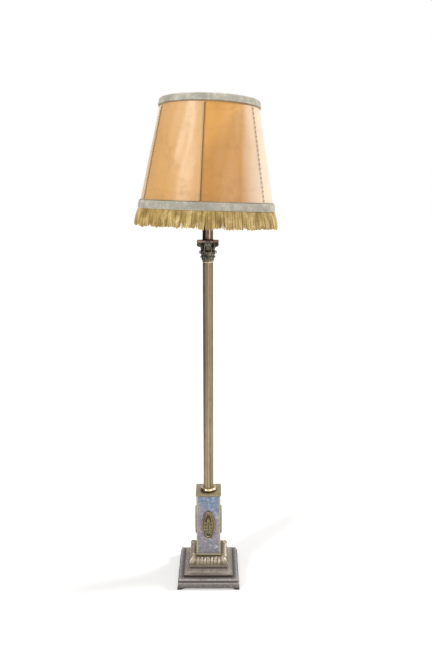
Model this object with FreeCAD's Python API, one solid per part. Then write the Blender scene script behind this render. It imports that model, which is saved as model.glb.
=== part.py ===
import FreeCAD, Part
import math
import os

# Candlestick floor lamp, in millimetres. +Z is up, the front is -Y, and the origin is the
# centre of the base on the floor, under the column's axis.

# ---- driving dimensions: the stack of castings, from the floor up ----
FOOT_H = 6.0                # bracket feet
FOOT_SPREAD = 1.0           # how far a foot flares out at the floor
FOOT_L = 22.0               # length of a foot along the base's edge
FOOT_CURL = 7.0             # how far a foot's inner edge draws in towards the floor
PLINTH_W = 112.0            # half width of the plinth at its lower edge
FASCIA_H = 18.0             # plain band of the plinth
FASCIA_LEAN = 1.25          # the band leans in by this much
GROOVE_DEPTH = 4.0          # quirk above the band
GROOVE_H = 7.0
BEAD_R = 2.5                # bead above the quirk
SLOPE_RISE = 2.0            # fall of the plinth's top
WALL_PLINTH = 7.0
STEP_W = 89.0               # half width of the step's riser
RISER_H = 6.0
CAVETTO_H = 20.0            # hollow moulding of the step
CAVETTO_W = 68.0            # half width above the hollow
FILLET_H = 3.5              # flat band above the hollow
LEAF_FOOT_W = 68.0          # half width of the leaf moulding's foot
LEAF_FOOT_H = 5.0
LEAF_H = 28.5               # leaf moulding, foot to top
LEAF_TOP_W = 50.0
OVOLO_R = 19.0              # round of the leaf moulding
TONGUES = 7                 # tongues on each side
TONGUE_PITCH = 12.0
TONGUE_W = 10.5
TONGUE_PROUD = 2.2          # how far the tongues stand out of the round
CORNER_LEAF_W = 15.0
CORNER_LEAF_PROUD = 2.6
LEAF_ROOT = 0.6             # how far a leaf's edge is sunk in the round
STATIONS = 4                # bands that the round is made of
CASTING_WALL = 5.0
DIE_W = 43.5                # half width of the die
DIE_H = 236.5
DIE_WALL = 4.5
DIE_FILLET_W = 46.0         # gilt edge at the die's foot
DIE_FILLET_H = 2.5
PANEL_MARGIN = 4.0          # metal frame round a painted panel
PANEL_T = 1.5
CAP_PLATE_W = 46.5
CAP_PLATE_H = 4.5
CAP_EDGE_R = 1.5
COLLAR_RING_R = 22.6        # centre line of the collar ring
COLLAR_BEAD_R = 6.4
COLUMN_R = 18.5
COLUMN_H = 837.0
COLUMN_BORE_R = 15.0
REEDS = 10
REED_DEPTH = 1.3
REED_START = -13.0          # angle of one groove from the front, degrees
ASTRAGAL_R = 20.0
ASTRAGAL_H = 7.0
CAPITAL_H = 69.0
ABACUS_W = 38.0
ABACUS_H = 6.0
NECK_R = 18.8
NECK_H = 165.0
NECK_WALL = 1.4
NECK_CAP_H = 5.0

# ---- medallions ----
OVAL_A = 24.5               # half width
OVAL_B = 55.0               # half height
OVAL_T = 7.0
OVAL_RISE = 2.5             # centre of the ovals above the die's middle
OVAL_SIDES = 20
LUG_W = 3.0                 # square lugs behind an oval, riveted over inside the die
LUG_GAP = 35.0              # lugs above and below the oval's centre

# ---- capital ----
BELL_FOOT_R = 19.0
BELL_LIP_R = 29.0
LOWER_LEAF_H = 16.0
LOWER_LEAF_TIP = 24.5
UPPER_LEAF_H = 32.0
UPPER_LEAF_TIP = 30.5
LEAVES = 8
BELL_SIDES = 16
RIB_W = 1.4                 # midrib of a leaf
SCROLL_R = 7.5
SCROLL_BAND = 1.5
SCROLL_W = 6.0
SCROLL_STEPS = 15
SCROLL_TURN = 540.0         # degrees that a scroll winds through

# ---- tie rod and what it clamps ----
ROD_R = 5.0
ROD_BORE_R = 3.5
HOLE_CLEAR = 0.5            # round the rod
RING_FIT = 0.3              # between a bore in flats and a round barrel
FIT_CLEAR = 0.1             # round spigots, shafts and let-in panels
SEAT_GAP = 0.05             # between round pieces that touch along a line
NUT_AF = 17.0
ROD_NUT_H = 5.5
WASHER_R = 20.0
WASHER_T = 2.0
SPIGOT_H = 4.0
BALLAST_H = 21.0
BALLAST_POCKET_R = 24.0
BALLAST_POCKET_H = 14.0
BALLAST_GAP = 3.0
CORD_SLOT_W = 14.0
BOSS_W = 6.0                # half width of the corner bosses
BOSS_CLEAR = 3.0
BOTTOM_PLATE_T = 1.5
SCREW_R = 2.0
SCREW_AF = 6.0
SCREW_HEAD_H = 2.2
SCREW_L = 12.0
FOOT_PIN_L = 8.0
BUSH_BORE_R = 4.0
BUSH_WALL = 1.5
BUSH_FLANGE_R = 8.5
BUSH_FLANGE_T = 2.5
BUSH_RISE = 9.0             # bush axis above the feet

# ---- lampholder and bulb ----
HOLDER_R = 19.5
HOLDER_WALL = 1.2
HOLDER_NECK_R = 8.0
HOLDER_NECK_H = 8.0
HOLDER_DOME_H = 13.5
HOLDER_RIM_H = 4.0
SHELL_H = 48.0
FLANGE_R = 25.0
FLANGE_T = 2.5
FLANGE_RISE = 22.0          # flange's top above the shell's lower edge
INSULATOR_H = 19.0
CAVITY_R = 13.4             # screw shell's bore
SCREW_SHELL_T = 0.5
SCREW_SHELL_H = 26.0
CONTACT_R = 3.5
CONTACT_H = 3.0
RING_NUT_H = 6.0
RING_NUT_R = 25.0
KEY_R = 2.0
KEY_RISE = 8.0              # key's axis above the shell's lower edge
KEY_REACH = 28.0
KEY_PADDLE = (11.0, 3.0, 12.0)
ROTOR_R = 5.0
ROTOR_L = 6.0
BULB_CAP_R = 13.0
BULB_CAP_H = 26.0
BULB_R = 30.0
BULB_H = 108.0
GLASS_T = 1.0
STEM_W = 3.0
STEM_H = 52.0

# ---- shade, built upright about its own axis with its hem at height 0, then leaned ----
SHADE_HEM_Z = 1352.7
SHADE_H = 347.3
SHADE_TOP_R = 159.3
SHADE_HEM_R = 227.0
SHADE_LEAN = 1.86           # degrees, top towards +X
SHADE_SHIFT = -4.0          # hem's centre from the column's axis, along X
PANELS = 6
SEAM_START = -4.5           # angle of one seam from the front, degrees
SEAM_GAP = 0.5
PARCHMENT_T = 0.8
BRAID_T = 1.5
TOP_BRAID_H = 24.0
HEM_BRAID_H = 26.5
FRINGE_H = 60.0
FRINGE_FLARE = 14.5
FRINGE_TOP_T = 3.0
FRINGE_HEM_T = 9.0
RING_R = 2.0                # wire of the two rings
RING_INSET = 4.0            # ring's centre from the rim and from the hem
STRUT_R = 1.5
FITTER_R = 31.0
FITTER_T = 2.0
ARMS = 3
ARM_W = 7.0
ARM_T = 1.6
ARM_START = 90.0            # angle of one arm from +X, degrees
ARM_FLAT = 45.0             # radius where an arm turns up

# ---- flats that stand for rounds ----
TURNED_SIDES = 24                  # round a small turned piece
PIN_SIDES = 8               # round a screw or a pin
HOLE_SIDES = 12             # round a clearance hole for the rod
RING_SIDES = 32             # round the collar ring
PANEL_SIDES = 8             # across one panel of the shade
SHADE_SIDES = PANELS * PANEL_SIDES

# ---- heights that follow ----
PLINTH_H = FASCIA_H + GROOVE_H + 2 * BEAD_R + SLOPE_RISE
Z_PLINTH = FOOT_H
Z_STEP = Z_PLINTH + PLINTH_H
Z_LEAF = Z_STEP + RISER_H + CAVETTO_H + FILLET_H
Z_DIE = Z_LEAF + LEAF_H
Z_CAP = Z_DIE + DIE_H
Z_COLUMN = Z_CAP + CAP_PLATE_H
Z_ASTRAGAL = Z_COLUMN + COLUMN_H
Z_CAPITAL = Z_ASTRAGAL + ASTRAGAL_H
Z_NECK = Z_CAPITAL + CAPITAL_H
Z_NECK_CAP = Z_NECK + NECK_H
Z_HOLDER = Z_NECK_CAP + NECK_CAP_H + ROD_NUT_H
Z_SHELL = Z_HOLDER + HOLDER_NECK_H + HOLDER_DOME_H + HOLDER_RIM_H
Z_FLANGE = Z_SHELL + FLANGE_RISE
Z_FITTER = Z_FLANGE + FIT_CLEAR
Z_RING_NUT = Z_FITTER + FITTER_T + FIT_CLEAR
Z_SEAT = Z_SHELL + INSULATOR_H - HOLDER_RIM_H
Z_KEY = Z_SHELL + KEY_RISE
Z_BULB = Z_SEAT + CONTACT_H
Z_CAVITY = Z_PLINTH + PLINTH_H - WALL_PLINTH
Z_BALLAST = Z_CAVITY - BALLAST_H
Z_POCKET = Z_BALLAST + BALLAST_POCKET_H
Z_ROD = Z_POCKET - WASHER_T - ROD_NUT_H - 1.0
Z_ROD_TOP = Z_HOLDER + HOLDER_NECK_H + 4.0
Z_OVAL = Z_DIE + DIE_H / 2 + OVAL_RISE

# ---- widths that follow ----
PLINTH_TOP_W = STEP_W + 1.0
CAVITY_W = PLINTH_W - FASCIA_LEAN - GROOVE_DEPTH - WALL_PLINTH
BOSS_X = PLINTH_W - FOOT_L - SCREW_AF / 2 - BOSS_CLEAR
FOOT_MID = PLINTH_W - FOOT_L / 3
BUSH_SEAT = PLINTH_W - FASCIA_LEAN * (BUSH_RISE + BUSH_FLANGE_R) / FASCIA_H
ROD_HOLE_R = ROD_R + HOLE_CLEAR
ROD_FIT_R = ROD_R + RING_FIT
DIE_BORE_W = DIE_W - DIE_WALL
CONE_SLOPE = (SHADE_HEM_R - SHADE_TOP_R) / SHADE_H
CONE_SECANT = math.hypot(1.0, CONE_SLOPE)

ORIGIN = FreeCAD.Vector(0, 0, 0)
X_AXIS = FreeCAD.Vector(1, 0, 0)
Y_AXIS = FreeCAD.Vector(0, 1, 0)
Z_AXIS = FreeCAD.Vector(0, 0, 1)
SIDES = {"front": 0, "right": 90, "back": 180, "left": 270}


# ---- helpers ----
def save(node, shape):
    """Write one named node, a solid or a group of separate solids."""
    shape = shape.removeSplitter()
    shape.exportStep("parts/" + node + ".step")


def at(pair):
    """A pair (x, z) as a point of the XZ plane."""
    return FreeCAD.Vector(pair[0], 0, pair[1])


def outline(*steps):
    """A closed face in the XZ plane. A pair is the next corner; two pairs are an arc's middle and end."""
    edges = []
    here = at(steps[0])
    for step in steps[1:] + steps[:1]:
        if isinstance(step[0], tuple):
            end = at(step[1])
            edges.append(Part.Arc(here, at(step[0]), end).toShape())
        else:
            end = at(step)
            if end.distanceToPoint(here) > 1e-6:
                edges.append(Part.LineSegment(here, end).toShape())
        here = end
    return Part.Face(Part.Wire(edges))


def skinned(rings, closed=False):
    """A solid whose flat faces join each ring of points to the next, capped or closed on itself."""
    faces = []
    for i in range(len(rings) - (0 if closed else 1)):
        here, there = rings[i], rings[(i + 1) % len(rings)]
        for j in range(len(here)):
            k = (j + 1) % len(here)
            for corners in ((here[j], here[k], there[k]), (here[j], there[k], there[j])):
                if (corners[1] - corners[0]).cross(corners[2] - corners[0]).Length > 1e-6:
                    faces.append(Part.Face(Part.makePolygon(corners + corners[:1])))
    for end in [] if closed else [rings[0], rings[-1]]:
        faces.append(Part.Face(Part.makePolygon(end + end[:1])))
    shell = Part.makeShell(faces)
    shell.sewShape()
    solid = Part.makeSolid(shell)
    return solid.reversed() if solid.Volume < 0 else solid


def lathed(*corners, flats=TURNED_SIDES, start=0.0, sweep=360.0):
    """A turned piece in flats: the (radius, height) corners of its section, carried round the Z axis."""
    closed = sweep == 360.0
    turns = [math.radians(start + sweep * i / flats) for i in range(flats if closed else flats + 1)]
    rings = [[FreeCAD.Vector(r * math.cos(t), r * math.sin(t), z) for r, z in corners] for t in turns]
    return skinned(rings, closed)


def drum(radius, low, height, bore=0.0):
    """An upright cylinder, or a tube where it has a bore."""
    shape = Part.makeCylinder(radius, height, FreeCAD.Vector(0, 0, low))
    if bore > 0:
        shape = shape.cut(Part.makeCylinder(bore, height, FreeCAD.Vector(0, 0, low)))
    return shape


def block(half, low, height):
    """A square block about the Z axis."""
    return Part.makeBox(2 * half, 2 * half, height, FreeCAD.Vector(-half, -half, low))


def spun(shape, degrees, axis=Z_AXIS, centre=ORIGIN):
    """A copy, turned about an axis."""
    copy = shape.copy()
    copy.rotate(centre, axis, degrees)
    return copy


def shifted(shape, x=0.0, y=0.0, z=0.0):
    """A copy, moved."""
    copy = shape.copy()
    copy.translate(FreeCAD.Vector(x, y, z))
    return copy


def around(shape, count, start=0.0):
    """Copies at equal angles about the Z axis."""
    return [spun(shape, start + 360.0 * i / count) for i in range(count)]


def at_corners(shape, x):
    """Copies of an upright shape at the four corners of a square of half width x."""
    return [shifted(shape, sx * x, sy * x) for sx in (-1, 1) for sy in (-1, 1)]


def both_ways(face, reach):
    """A mitred square moulding: an outline's prism, crossed with itself turned a quarter."""
    prism = shifted(face.extrude(FreeCAD.Vector(0, 2 * reach, 0)), y=-reach)
    return prism.common(spun(prism, 90))


def square_moulding(*steps):
    """A mitred square moulding from the (half width, height) steps of its right-hand side."""
    mirrored = []
    here = steps[0]
    for step in steps[1:]:
        if isinstance(step[0], tuple):
            mirrored.append(((-step[0][0], step[0][1]), (-here[0], here[1])))
            here = step[1]
        else:
            mirrored.append((-here[0], here[1]))
            here = step
    left = [(-here[0], here[1])] + mirrored[::-1]
    reach = 2 * max(abs(s[0]) if not isinstance(s[0], tuple) else abs(s[1][0]) for s in steps)
    return both_ways(outline(*steps, *left), reach)


def hexagon(across_flats, low, height, bore=0.0):
    """A hexagon about the Z axis, or a nut where it has a bore."""
    corner = across_flats / math.sqrt(3)
    points = [FreeCAD.Vector(corner * math.cos(math.radians(60 * i)),
                             corner * math.sin(math.radians(60 * i)), low) for i in range(7)]
    shape = Part.Face(Part.makePolygon(points)).extrude(FreeCAD.Vector(0, 0, height))
    return shape.cut(rod_hole(low, height, bore)) if bore > 0 else shape


def rod_hole(low, height, radius=ROD_HOLE_R):
    """The hole for the tie rod through one casting, or through a nut."""
    return lathed((0.0, low), (radius, low), (radius, low + height), (0.0, low + height), flats=HOLE_SIDES)


# ---- base ----
def bracket_feet():
    """Four corner brackets whose inner edges draw in towards the floor, each with a pin cast on."""
    wide = PLINTH_W + FOOT_SPREAD
    inner = PLINTH_W - FOOT_L
    side = outline((wide, 0.0), (PLINTH_W, FOOT_H), (inner, FOOT_H),
                   (inner + 0.25 * FOOT_CURL, 0.45 * FOOT_H),
                   (inner + FOOT_CURL, 0.0))
    both = side.fuse(side.mirror(ORIGIN, X_AXIS))
    feet = both_ways(both, wide + 1.0)
    return feet.fuse(at_corners(pin(SCREW_R, FOOT_H, FOOT_PIN_L), FOOT_MID))


def pin(radius, low, height):
    """A small upright pin or screw hole in flats."""
    return lathed((0.0, low), (radius, low), (radius, low + height), (0.0, low + height), flats=PIN_SIDES)


def screw(head_low, length):
    """A hexagon-head screw, head down."""
    head = hexagon(SCREW_AF, head_low, SCREW_HEAD_H)
    return head.fuse(pin(SCREW_R, head_low + SCREW_HEAD_H, length))


def base_plinth():
    """Hollow casting: fascia, quirk, bead and a sloping top, with bosses for the bottom plate."""
    z_groove = Z_PLINTH + FASCIA_H
    z_bead = z_groove + GROOVE_H
    z_shoulder = z_bead + 2 * BEAD_R
    fascia_top = PLINTH_W - FASCIA_LEAN
    groove_w = fascia_top - GROOVE_DEPTH
    bead_w = groove_w - BEAD_R
    shell = square_moulding((PLINTH_W, Z_PLINTH), (fascia_top, z_groove), (groove_w, z_groove + 2.5),
                            (groove_w, z_bead - 1.5), (bead_w, z_bead),
                            (bead_w + BEAD_R, z_bead + 0.6 * BEAD_R),
                            (bead_w + BEAD_R, z_shoulder - 0.6 * BEAD_R),
                            (bead_w, z_shoulder),
                            (PLINTH_TOP_W, Z_STEP))
    shell = shell.cut(block(CAVITY_W, Z_PLINTH, Z_CAVITY - Z_PLINTH))
    boss_low = Z_PLINTH + BOTTOM_PLATE_T
    shell = shell.fuse(at_corners(block(BOSS_W, boss_low, Z_CAVITY - boss_low), BOSS_X))
    shell = shell.cut(at_corners(pin(SCREW_R + FIT_CLEAR, boss_low, SCREW_L), BOSS_X))
    shell = shell.cut(at_corners(pin(SCREW_R + FIT_CLEAR, Z_PLINTH, FOOT_PIN_L + HOLE_CLEAR), FOOT_MID))
    shell = shell.cut(rod_hole(Z_CAVITY, WALL_PLINTH))
    z_inlet = Z_PLINTH + BUSH_RISE
    inlet = Part.makeCylinder(BUSH_BORE_R + BUSH_WALL + FIT_CLEAR, CAVITY_W,
                              FreeCAD.Vector(0, CAVITY_W / 2, z_inlet), Y_AXIS)
    spot_face = Part.makeCylinder(BUSH_FLANGE_R + FIT_CLEAR, BUSH_FLANGE_T,
                                  FreeCAD.Vector(0, BUSH_SEAT, z_inlet), Y_AXIS)
    return shell.cut([inlet, spot_face])


def cord_bush():
    """Flanged bush through the plinth's back wall, with a bevelled flange."""
    outer = BUSH_BORE_R + BUSH_WALL
    wall = BUSH_SEAT - CAVITY_W
    bush = lathed((0.0, -wall), (outer, -wall), (outer, 0.0), (BUSH_FLANGE_R, 0.0),
                  (BUSH_FLANGE_R, 0.5 * BUSH_FLANGE_T), (BUSH_FLANGE_R - 1.5, BUSH_FLANGE_T),
                  (0.0, BUSH_FLANGE_T))
    bush = bush.cut(drum(BUSH_BORE_R, -wall, wall + BUSH_FLANGE_T))
    return shifted(spun(bush, -90, X_AXIS), y=BUSH_SEAT, z=Z_PLINTH + BUSH_RISE)


def base_step():
    """Riser and hollow moulding, cast hollow."""
    z_cavetto = Z_STEP + RISER_H
    z_fillet = z_cavetto + CAVETTO_H
    foot = STEP_W - 3.0
    mid = (foot - 0.62 * (foot - CAVETTO_W), z_cavetto + 0.36 * CAVETTO_H)
    shell = square_moulding((STEP_W, Z_STEP), (STEP_W, z_cavetto - 1.0), (foot, z_cavetto),
                            (mid, (CAVETTO_W, z_fillet)), (CAVETTO_W, Z_LEAF))
    hollow = block(CAVETTO_W - CASTING_WALL, Z_STEP, Z_LEAF - Z_STEP - CASTING_WALL)
    return shell.cut(hollow).cut(rod_hole(Z_STEP, Z_LEAF - Z_STEP))


def round_stations():
    """Half width and height at each band's edge, up the round, and the way it faces there."""
    low_w = LEAF_FOOT_W - 1.0
    low_z = Z_LEAF + LEAF_FOOT_H
    rise = Z_DIE - low_z
    run = low_w - LEAF_TOP_W
    half_chord = math.hypot(rise, run) / 2
    lift = math.sqrt(OVOLO_R ** 2 - half_chord ** 2)
    centre_w = low_w - run / 2 - lift * rise / (2 * half_chord)
    centre_z = low_z + rise / 2 - lift * run / (2 * half_chord)
    start = math.atan2(low_z - centre_z, low_w - centre_w)
    end = math.atan2(Z_DIE - centre_z, LEAF_TOP_W - centre_w)
    turns = [start + (end - start) * i / STATIONS for i in range(STATIONS + 1)]
    return [(centre_w + OVOLO_R * math.cos(t), centre_z + OVOLO_R * math.sin(t), t) for t in turns]


def tongue(stations, x):
    """A leaf folded along its midrib, laid up the front's round at a distance from its middle."""
    spread = [0.4, 0.9, 1.0, 0.95, 0.8]
    ridge = [0.2, 0.9, 1.0, 0.8, 0.4]
    rings = []
    for (w, z, turn), wide, high in zip(stations, spread, ridge):
        out = FreeCAD.Vector(0, -math.cos(turn), math.sin(turn))
        base = FreeCAD.Vector(x, -w, z) - out * LEAF_ROOT
        half = FreeCAD.Vector(TONGUE_W * wide / 2, 0, 0)
        rings.append([base - half, base + half, base + out * (LEAF_ROOT + TONGUE_PROUD * high)])
    return skinned(rings)


def corner_leaf(stations):
    """A broad leaf folded over the mitre at the front right corner."""
    spread = [0.35, 0.85, 1.0, 0.8, 0.5]
    rings = []
    for (w, z, turn), wide in zip(stations, spread):
        side = CORNER_LEAF_W * wide
        tip = w + CORNER_LEAF_PROUD * wide * math.cos(turn)
        edge = w - LEAF_ROOT
        lift = CORNER_LEAF_PROUD * wide * math.sin(turn)
        rings.append([FreeCAD.Vector(edge - side, -edge, z), FreeCAD.Vector(tip, -tip, z + lift),
                      FreeCAD.Vector(edge, side - edge, z)])
    return skinned(rings)


def leaf_moulding():
    """Ovolo with upright tongues on every side and a broad leaf folded over each corner."""
    stations = round_stations()
    body = square_moulding((LEAF_FOOT_W, Z_LEAF), (LEAF_FOOT_W, Z_LEAF + LEAF_FOOT_H),
                           *[(w, z) for w, z, turn in stations])
    leaves = [corner_leaf(stations)]
    for i in range(TONGUES):
        leaves.append(tongue(stations, (i - (TONGUES - 1) / 2) * TONGUE_PITCH))
    body = body.fuse([spun(leaf, degrees) for leaf in leaves for degrees in SIDES.values()])
    body = body.common(block(LEAF_FOOT_W + CORNER_LEAF_PROUD, Z_LEAF, LEAF_H))
    hollow = block(DIE_BORE_W - 2.0, Z_LEAF, LEAF_H - CASTING_WALL)
    spigot = block(DIE_BORE_W - FIT_CLEAR, Z_DIE, SPIGOT_H)
    return body.fuse(spigot).cut(hollow).cut(rod_hole(Z_LEAF, LEAF_H + SPIGOT_H))


def ballast_weight():
    """Cast iron block under the plinth's ceiling, with a pocket for the nut and a slot for the lead."""
    half = CAVITY_W - BALLAST_GAP
    weight = block(half, Z_BALLAST, BALLAST_H)
    weight = weight.cut(block(BALLAST_POCKET_R, Z_BALLAST, BALLAST_POCKET_H))
    slot = Part.makeBox(CORD_SLOT_W, half, BALLAST_POCKET_H,
                        FreeCAD.Vector(-CORD_SLOT_W / 2, 0, Z_BALLAST))
    weight = weight.cut(slot)
    notch = half - BOSS_X + BOSS_W + BALLAST_GAP
    weight = weight.cut(at_corners(block(notch, Z_BALLAST, BALLAST_H), half))
    return weight.cut(rod_hole(Z_BALLAST, BALLAST_H))


def bottom_plate():
    plate = block(CAVITY_W - HOLE_CLEAR, Z_PLINTH, BOTTOM_PLATE_T)
    return plate.cut(at_corners(pin(SCREW_R + FIT_CLEAR, Z_PLINTH, BOTTOM_PLATE_T), BOSS_X))


def bottom_screws():
    head_low = Z_PLINTH - SCREW_HEAD_H
    return Part.makeCompound(at_corners(screw(head_low, SCREW_L), BOSS_X))


# ---- die, panels and medallions ----
def lug_holes(shape):
    """Cut the square holes for the medallions' lugs through the four sides."""
    half = LUG_W / 2 + FIT_CLEAR
    holes = []
    for degrees in SIDES.values():
        for side in (-1, 1):
            low = FreeCAD.Vector(-half, -DIE_W, Z_OVAL + side * LUG_GAP - half)
            holes.append(spun(Part.makeBox(2 * half, DIE_WALL, 2 * half, low), degrees))
    return shape.cut(holes)


def panel_block(clearance):
    """The front panel, or the pocket it is let into when a clearance is added."""
    half = DIE_W - PANEL_MARGIN - CAP_EDGE_R + clearance
    low = Z_DIE + DIE_FILLET_H + PANEL_MARGIN - clearance
    height = DIE_H - DIE_FILLET_H - 2 * PANEL_MARGIN + 2 * clearance
    return Part.makeBox(2 * half, PANEL_T, height, FreeCAD.Vector(-half, -DIE_W, low))


def die_shell():
    """Square tube with a pocket in each side and a thin gilt fillet round its foot."""
    shell = block(DIE_W, Z_DIE, DIE_H).fuse(block(DIE_FILLET_W, Z_DIE, DIE_FILLET_H))
    shell = shell.cut(block(DIE_BORE_W, Z_DIE, DIE_H))
    for degrees in SIDES.values():
        shell = shell.cut(spun(panel_block(FIT_CLEAR), degrees))
    return lug_holes(shell)


def painted_panel(degrees):
    return lug_holes(spun(panel_block(0.0), degrees))


def oval_ring(scale, depth):
    """Corners of an oval, upright on the front of the die at a depth out of its face."""
    turns = [2 * math.pi * (i + 0.5) / OVAL_SIDES for i in range(OVAL_SIDES)]
    return [FreeCAD.Vector(scale * OVAL_A * math.sin(t), -DIE_W - depth,
                           Z_OVAL + scale * OVAL_B * math.cos(t))
            for t in turns]


def bud(x, z, half_width, half_height, tilt, low, high):
    """A four-sided bud, tilted on the medallion, smaller and flat at its top."""
    corners = [(0.0, half_height), (half_width, 0.0), (0.0, -half_height), (-half_width, 0.0)]
    rings = [[FreeCAD.Vector(k * a, -DIE_W - depth, k * b) for a, b in corners]
             for k, depth in ((1.0, low), (0.45, high))]
    return shifted(spun(skinned(rings), tilt, Y_AXIS), x=x, z=Z_OVAL + z)


def medallion(degrees):
    """Oval plaque: a back plate, two raised rings, a bud between two leaves, and two lugs behind."""
    plate_t = 0.36 * OVAL_T
    rim_t = 0.85 * OVAL_T
    steps = [(1.0, 0.0), (1.0, 0.6 * rim_t), (0.95, rim_t), (0.85, rim_t), (0.82, plate_t), (0.66, plate_t),
             (0.64, 0.75 * OVAL_T), (0.56, 0.75 * OVAL_T), (0.54, plate_t)]
    pieces = [bud(0.0, 6.0, 6.5, 17.0, 0.0, 0.0, OVAL_T),
              bud(-6.0, -16.0, 4.0, 12.0, -24.0, 0.0, 0.8 * OVAL_T),
              bud(6.0, -16.0, 4.0, 12.0, 24.0, 0.0, 0.8 * OVAL_T)]
    for side in (-1, 1):
        low = FreeCAD.Vector(-LUG_W / 2, -DIE_W, Z_OVAL + side * LUG_GAP - LUG_W / 2)
        pieces.append(Part.makeBox(LUG_W, DIE_WALL, LUG_W, low))
    return spun(skinned([oval_ring(*step) for step in steps]).fuse(pieces), degrees)


def cap_plate():
    """Square plate with a rounded edge, a spigot into the die and one into the column."""
    z_top = Z_CAP + CAP_PLATE_H
    inner = CAP_PLATE_W - CAP_EDGE_R
    plate = square_moulding((CAP_PLATE_W, Z_CAP), (CAP_PLATE_W, z_top - CAP_EDGE_R), (inner, z_top))
    plate = plate.fuse(block(DIE_BORE_W - FIT_CLEAR, Z_CAP - SPIGOT_H, SPIGOT_H))
    spigot = COLUMN_BORE_R - FIT_CLEAR
    plate = plate.fuse(lathed((0.0, z_top), (spigot, z_top),
                              (spigot, z_top + SPIGOT_H), (0.0, z_top + SPIGOT_H)))
    return plate.cut(rod_hole(Z_CAP - SPIGOT_H, CAP_PLATE_H + 2 * SPIGOT_H))


# ---- column ----
def collar_ring():
    """Thick round ring that hides the column's foot."""
    middle = Z_COLUMN + COLLAR_BEAD_R
    inner = COLUMN_R + FIT_CLEAR
    turns = [math.radians(36 * i - 90) for i in range(6)]
    rim = [(COLLAR_RING_R + COLLAR_BEAD_R * math.cos(t), middle + COLLAR_BEAD_R * math.sin(t))
           for t in turns]
    return lathed((inner, Z_COLUMN), *rim, (inner, middle + 0.6 * COLLAR_BEAD_R), flats=RING_SIDES)


def column_tube():
    """Tube with rounded reeds all round: one arc for each reed."""
    pitch = 2 * math.pi / REEDS
    start = math.radians(REED_START - 90)
    root = COLUMN_R - REED_DEPTH
    edges = []
    for i in range(REEDS):
        a = start + i * pitch
        ends = [FreeCAD.Vector(root * math.cos(t), root * math.sin(t), 0) for t in (a, a + pitch)]
        crown = a + pitch / 2
        mid = FreeCAD.Vector(COLUMN_R * math.cos(crown), COLUMN_R * math.sin(crown), 0)
        edges.append(Part.Arc(ends[0], mid, ends[1]).toShape())
    face = Part.Face(Part.Wire(edges))
    tube = shifted(face.extrude(FreeCAD.Vector(0, 0, COLUMN_H)), z=Z_COLUMN)
    return tube.cut(drum(COLUMN_BORE_R, Z_COLUMN, COLUMN_H))


def astragal_ring():
    """Turned ring between the column and the capital, with a spigot into the column."""
    low = Z_ASTRAGAL
    edge = ASTRAGAL_R - 1.4
    spigot = COLUMN_BORE_R - FIT_CLEAR
    return lathed((ROD_HOLE_R, low - SPIGOT_H), (spigot, low - SPIGOT_H), (spigot, low), (edge, low),
                  (ASTRAGAL_R, low + 0.35 * ASTRAGAL_H), (ASTRAGAL_R, low + 0.75 * ASTRAGAL_H),
                  (edge, Z_CAPITAL),
                  (ROD_HOLE_R, Z_CAPITAL))


# ---- capital ----
def acanthus_leaf(root, foot, height, width, tip):
    """A leaf that climbs the bell, rolls out and drops its tip: a side outline crossed with a front one."""
    top = foot + height
    back = root - 3.0
    skin = root + 1.6
    curl = 0.13 * height + 1.0
    out = tip - skin
    side = outline((back, foot), (skin - 0.6, foot), (skin, foot + 0.4 * height),
                   (skin + 0.25 * out, top - 2.0 * curl), (skin + 0.6 * out, top - 1.5 * curl),
                   (tip - 0.8, top - 2.0 * curl), (tip, top - 1.2 * curl), (skin + 0.5 * out, top),
                   (back, top))
    blade = shifted(side.extrude(FreeCAD.Vector(0, width, 0)), y=-width / 2)
    lobes = [(0.6, 0.0), (1.0, 0.18), (0.72, 0.4), (0.98, 0.55), (0.62, 0.78), (0.16, 1.0)]
    right = [(across * width / 2, foot + up * height) for across, up in lobes]
    left = [(-x, z) for x, z in right[::-1]]
    reach = 2 * tip
    front = spun(outline(*right, *left).extrude(FreeCAD.Vector(0, reach, 0)), -90)
    rib = outline((back, foot), (skin + 0.2, foot), (skin + 0.8, foot + 0.4 * height),
                  (skin + 0.6 * out, top - 1.4 * curl + 0.8), (back, top - 1.4 * curl + 0.8))
    rib = shifted(rib.extrude(FreeCAD.Vector(0, RIB_W, 0)), y=-RIB_W / 2)
    return blade.common(front).fuse(rib)


def spiral(x, z, radius, last):
    """Corners of a spiral in the XZ plane, from its top inwards, clockwise, down to a last radius."""
    corners = []
    for i in range(SCROLL_STEPS + 1):
        part = i / SCROLL_STEPS
        t = math.radians(90 - SCROLL_TURN * part)
        r = radius + (last - radius) * part
        corners.append((x + r * math.cos(t), z + r * math.sin(t)))
    return corners


def corner_scroll():
    """A scroll of one and a half turns on a web, with the stalk that carries it, in the XZ plane."""
    x = math.sqrt(2) * ABACUS_W - SCROLL_R - 3.5
    z = Z_NECK - ABACUS_H - SCROLL_R
    outer = spiral(x, z, SCROLL_R, 1.5 * SCROLL_BAND)
    inner = spiral(x, z, SCROLL_R - SCROLL_BAND, 0.5 * SCROLL_BAND)
    band = outline(*outer, *inner[::-1]).extrude(FreeCAD.Vector(0, SCROLL_W, 0))
    band = shifted(band, y=-SCROLL_W / 2)
    web_w = 0.6 * SCROLL_W
    disc = [(x + 0.9 * SCROLL_R * math.cos(t), z + 0.9 * SCROLL_R * math.sin(t))
            for t in [math.radians(36 * i) for i in range(10)]]
    root = BELL_FOOT_R
    foot = Z_CAPITAL + 0.45 * CAPITAL_H
    stalk = [(root, foot), (root + 3.5, foot + 2.0), (root + 8.0, z - 4.0), (x, z + SCROLL_R - 3.0),
             (x, z + SCROLL_R), (root + 6.0, z + 0.6 * SCROLL_R), (root, foot + 8.0)]
    webs = [shifted(outline(*corners).extrude(FreeCAD.Vector(0, web_w, 0)), y=-web_w / 2)
            for corners in (disc, stalk)]
    return band.fuse(webs)


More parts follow.
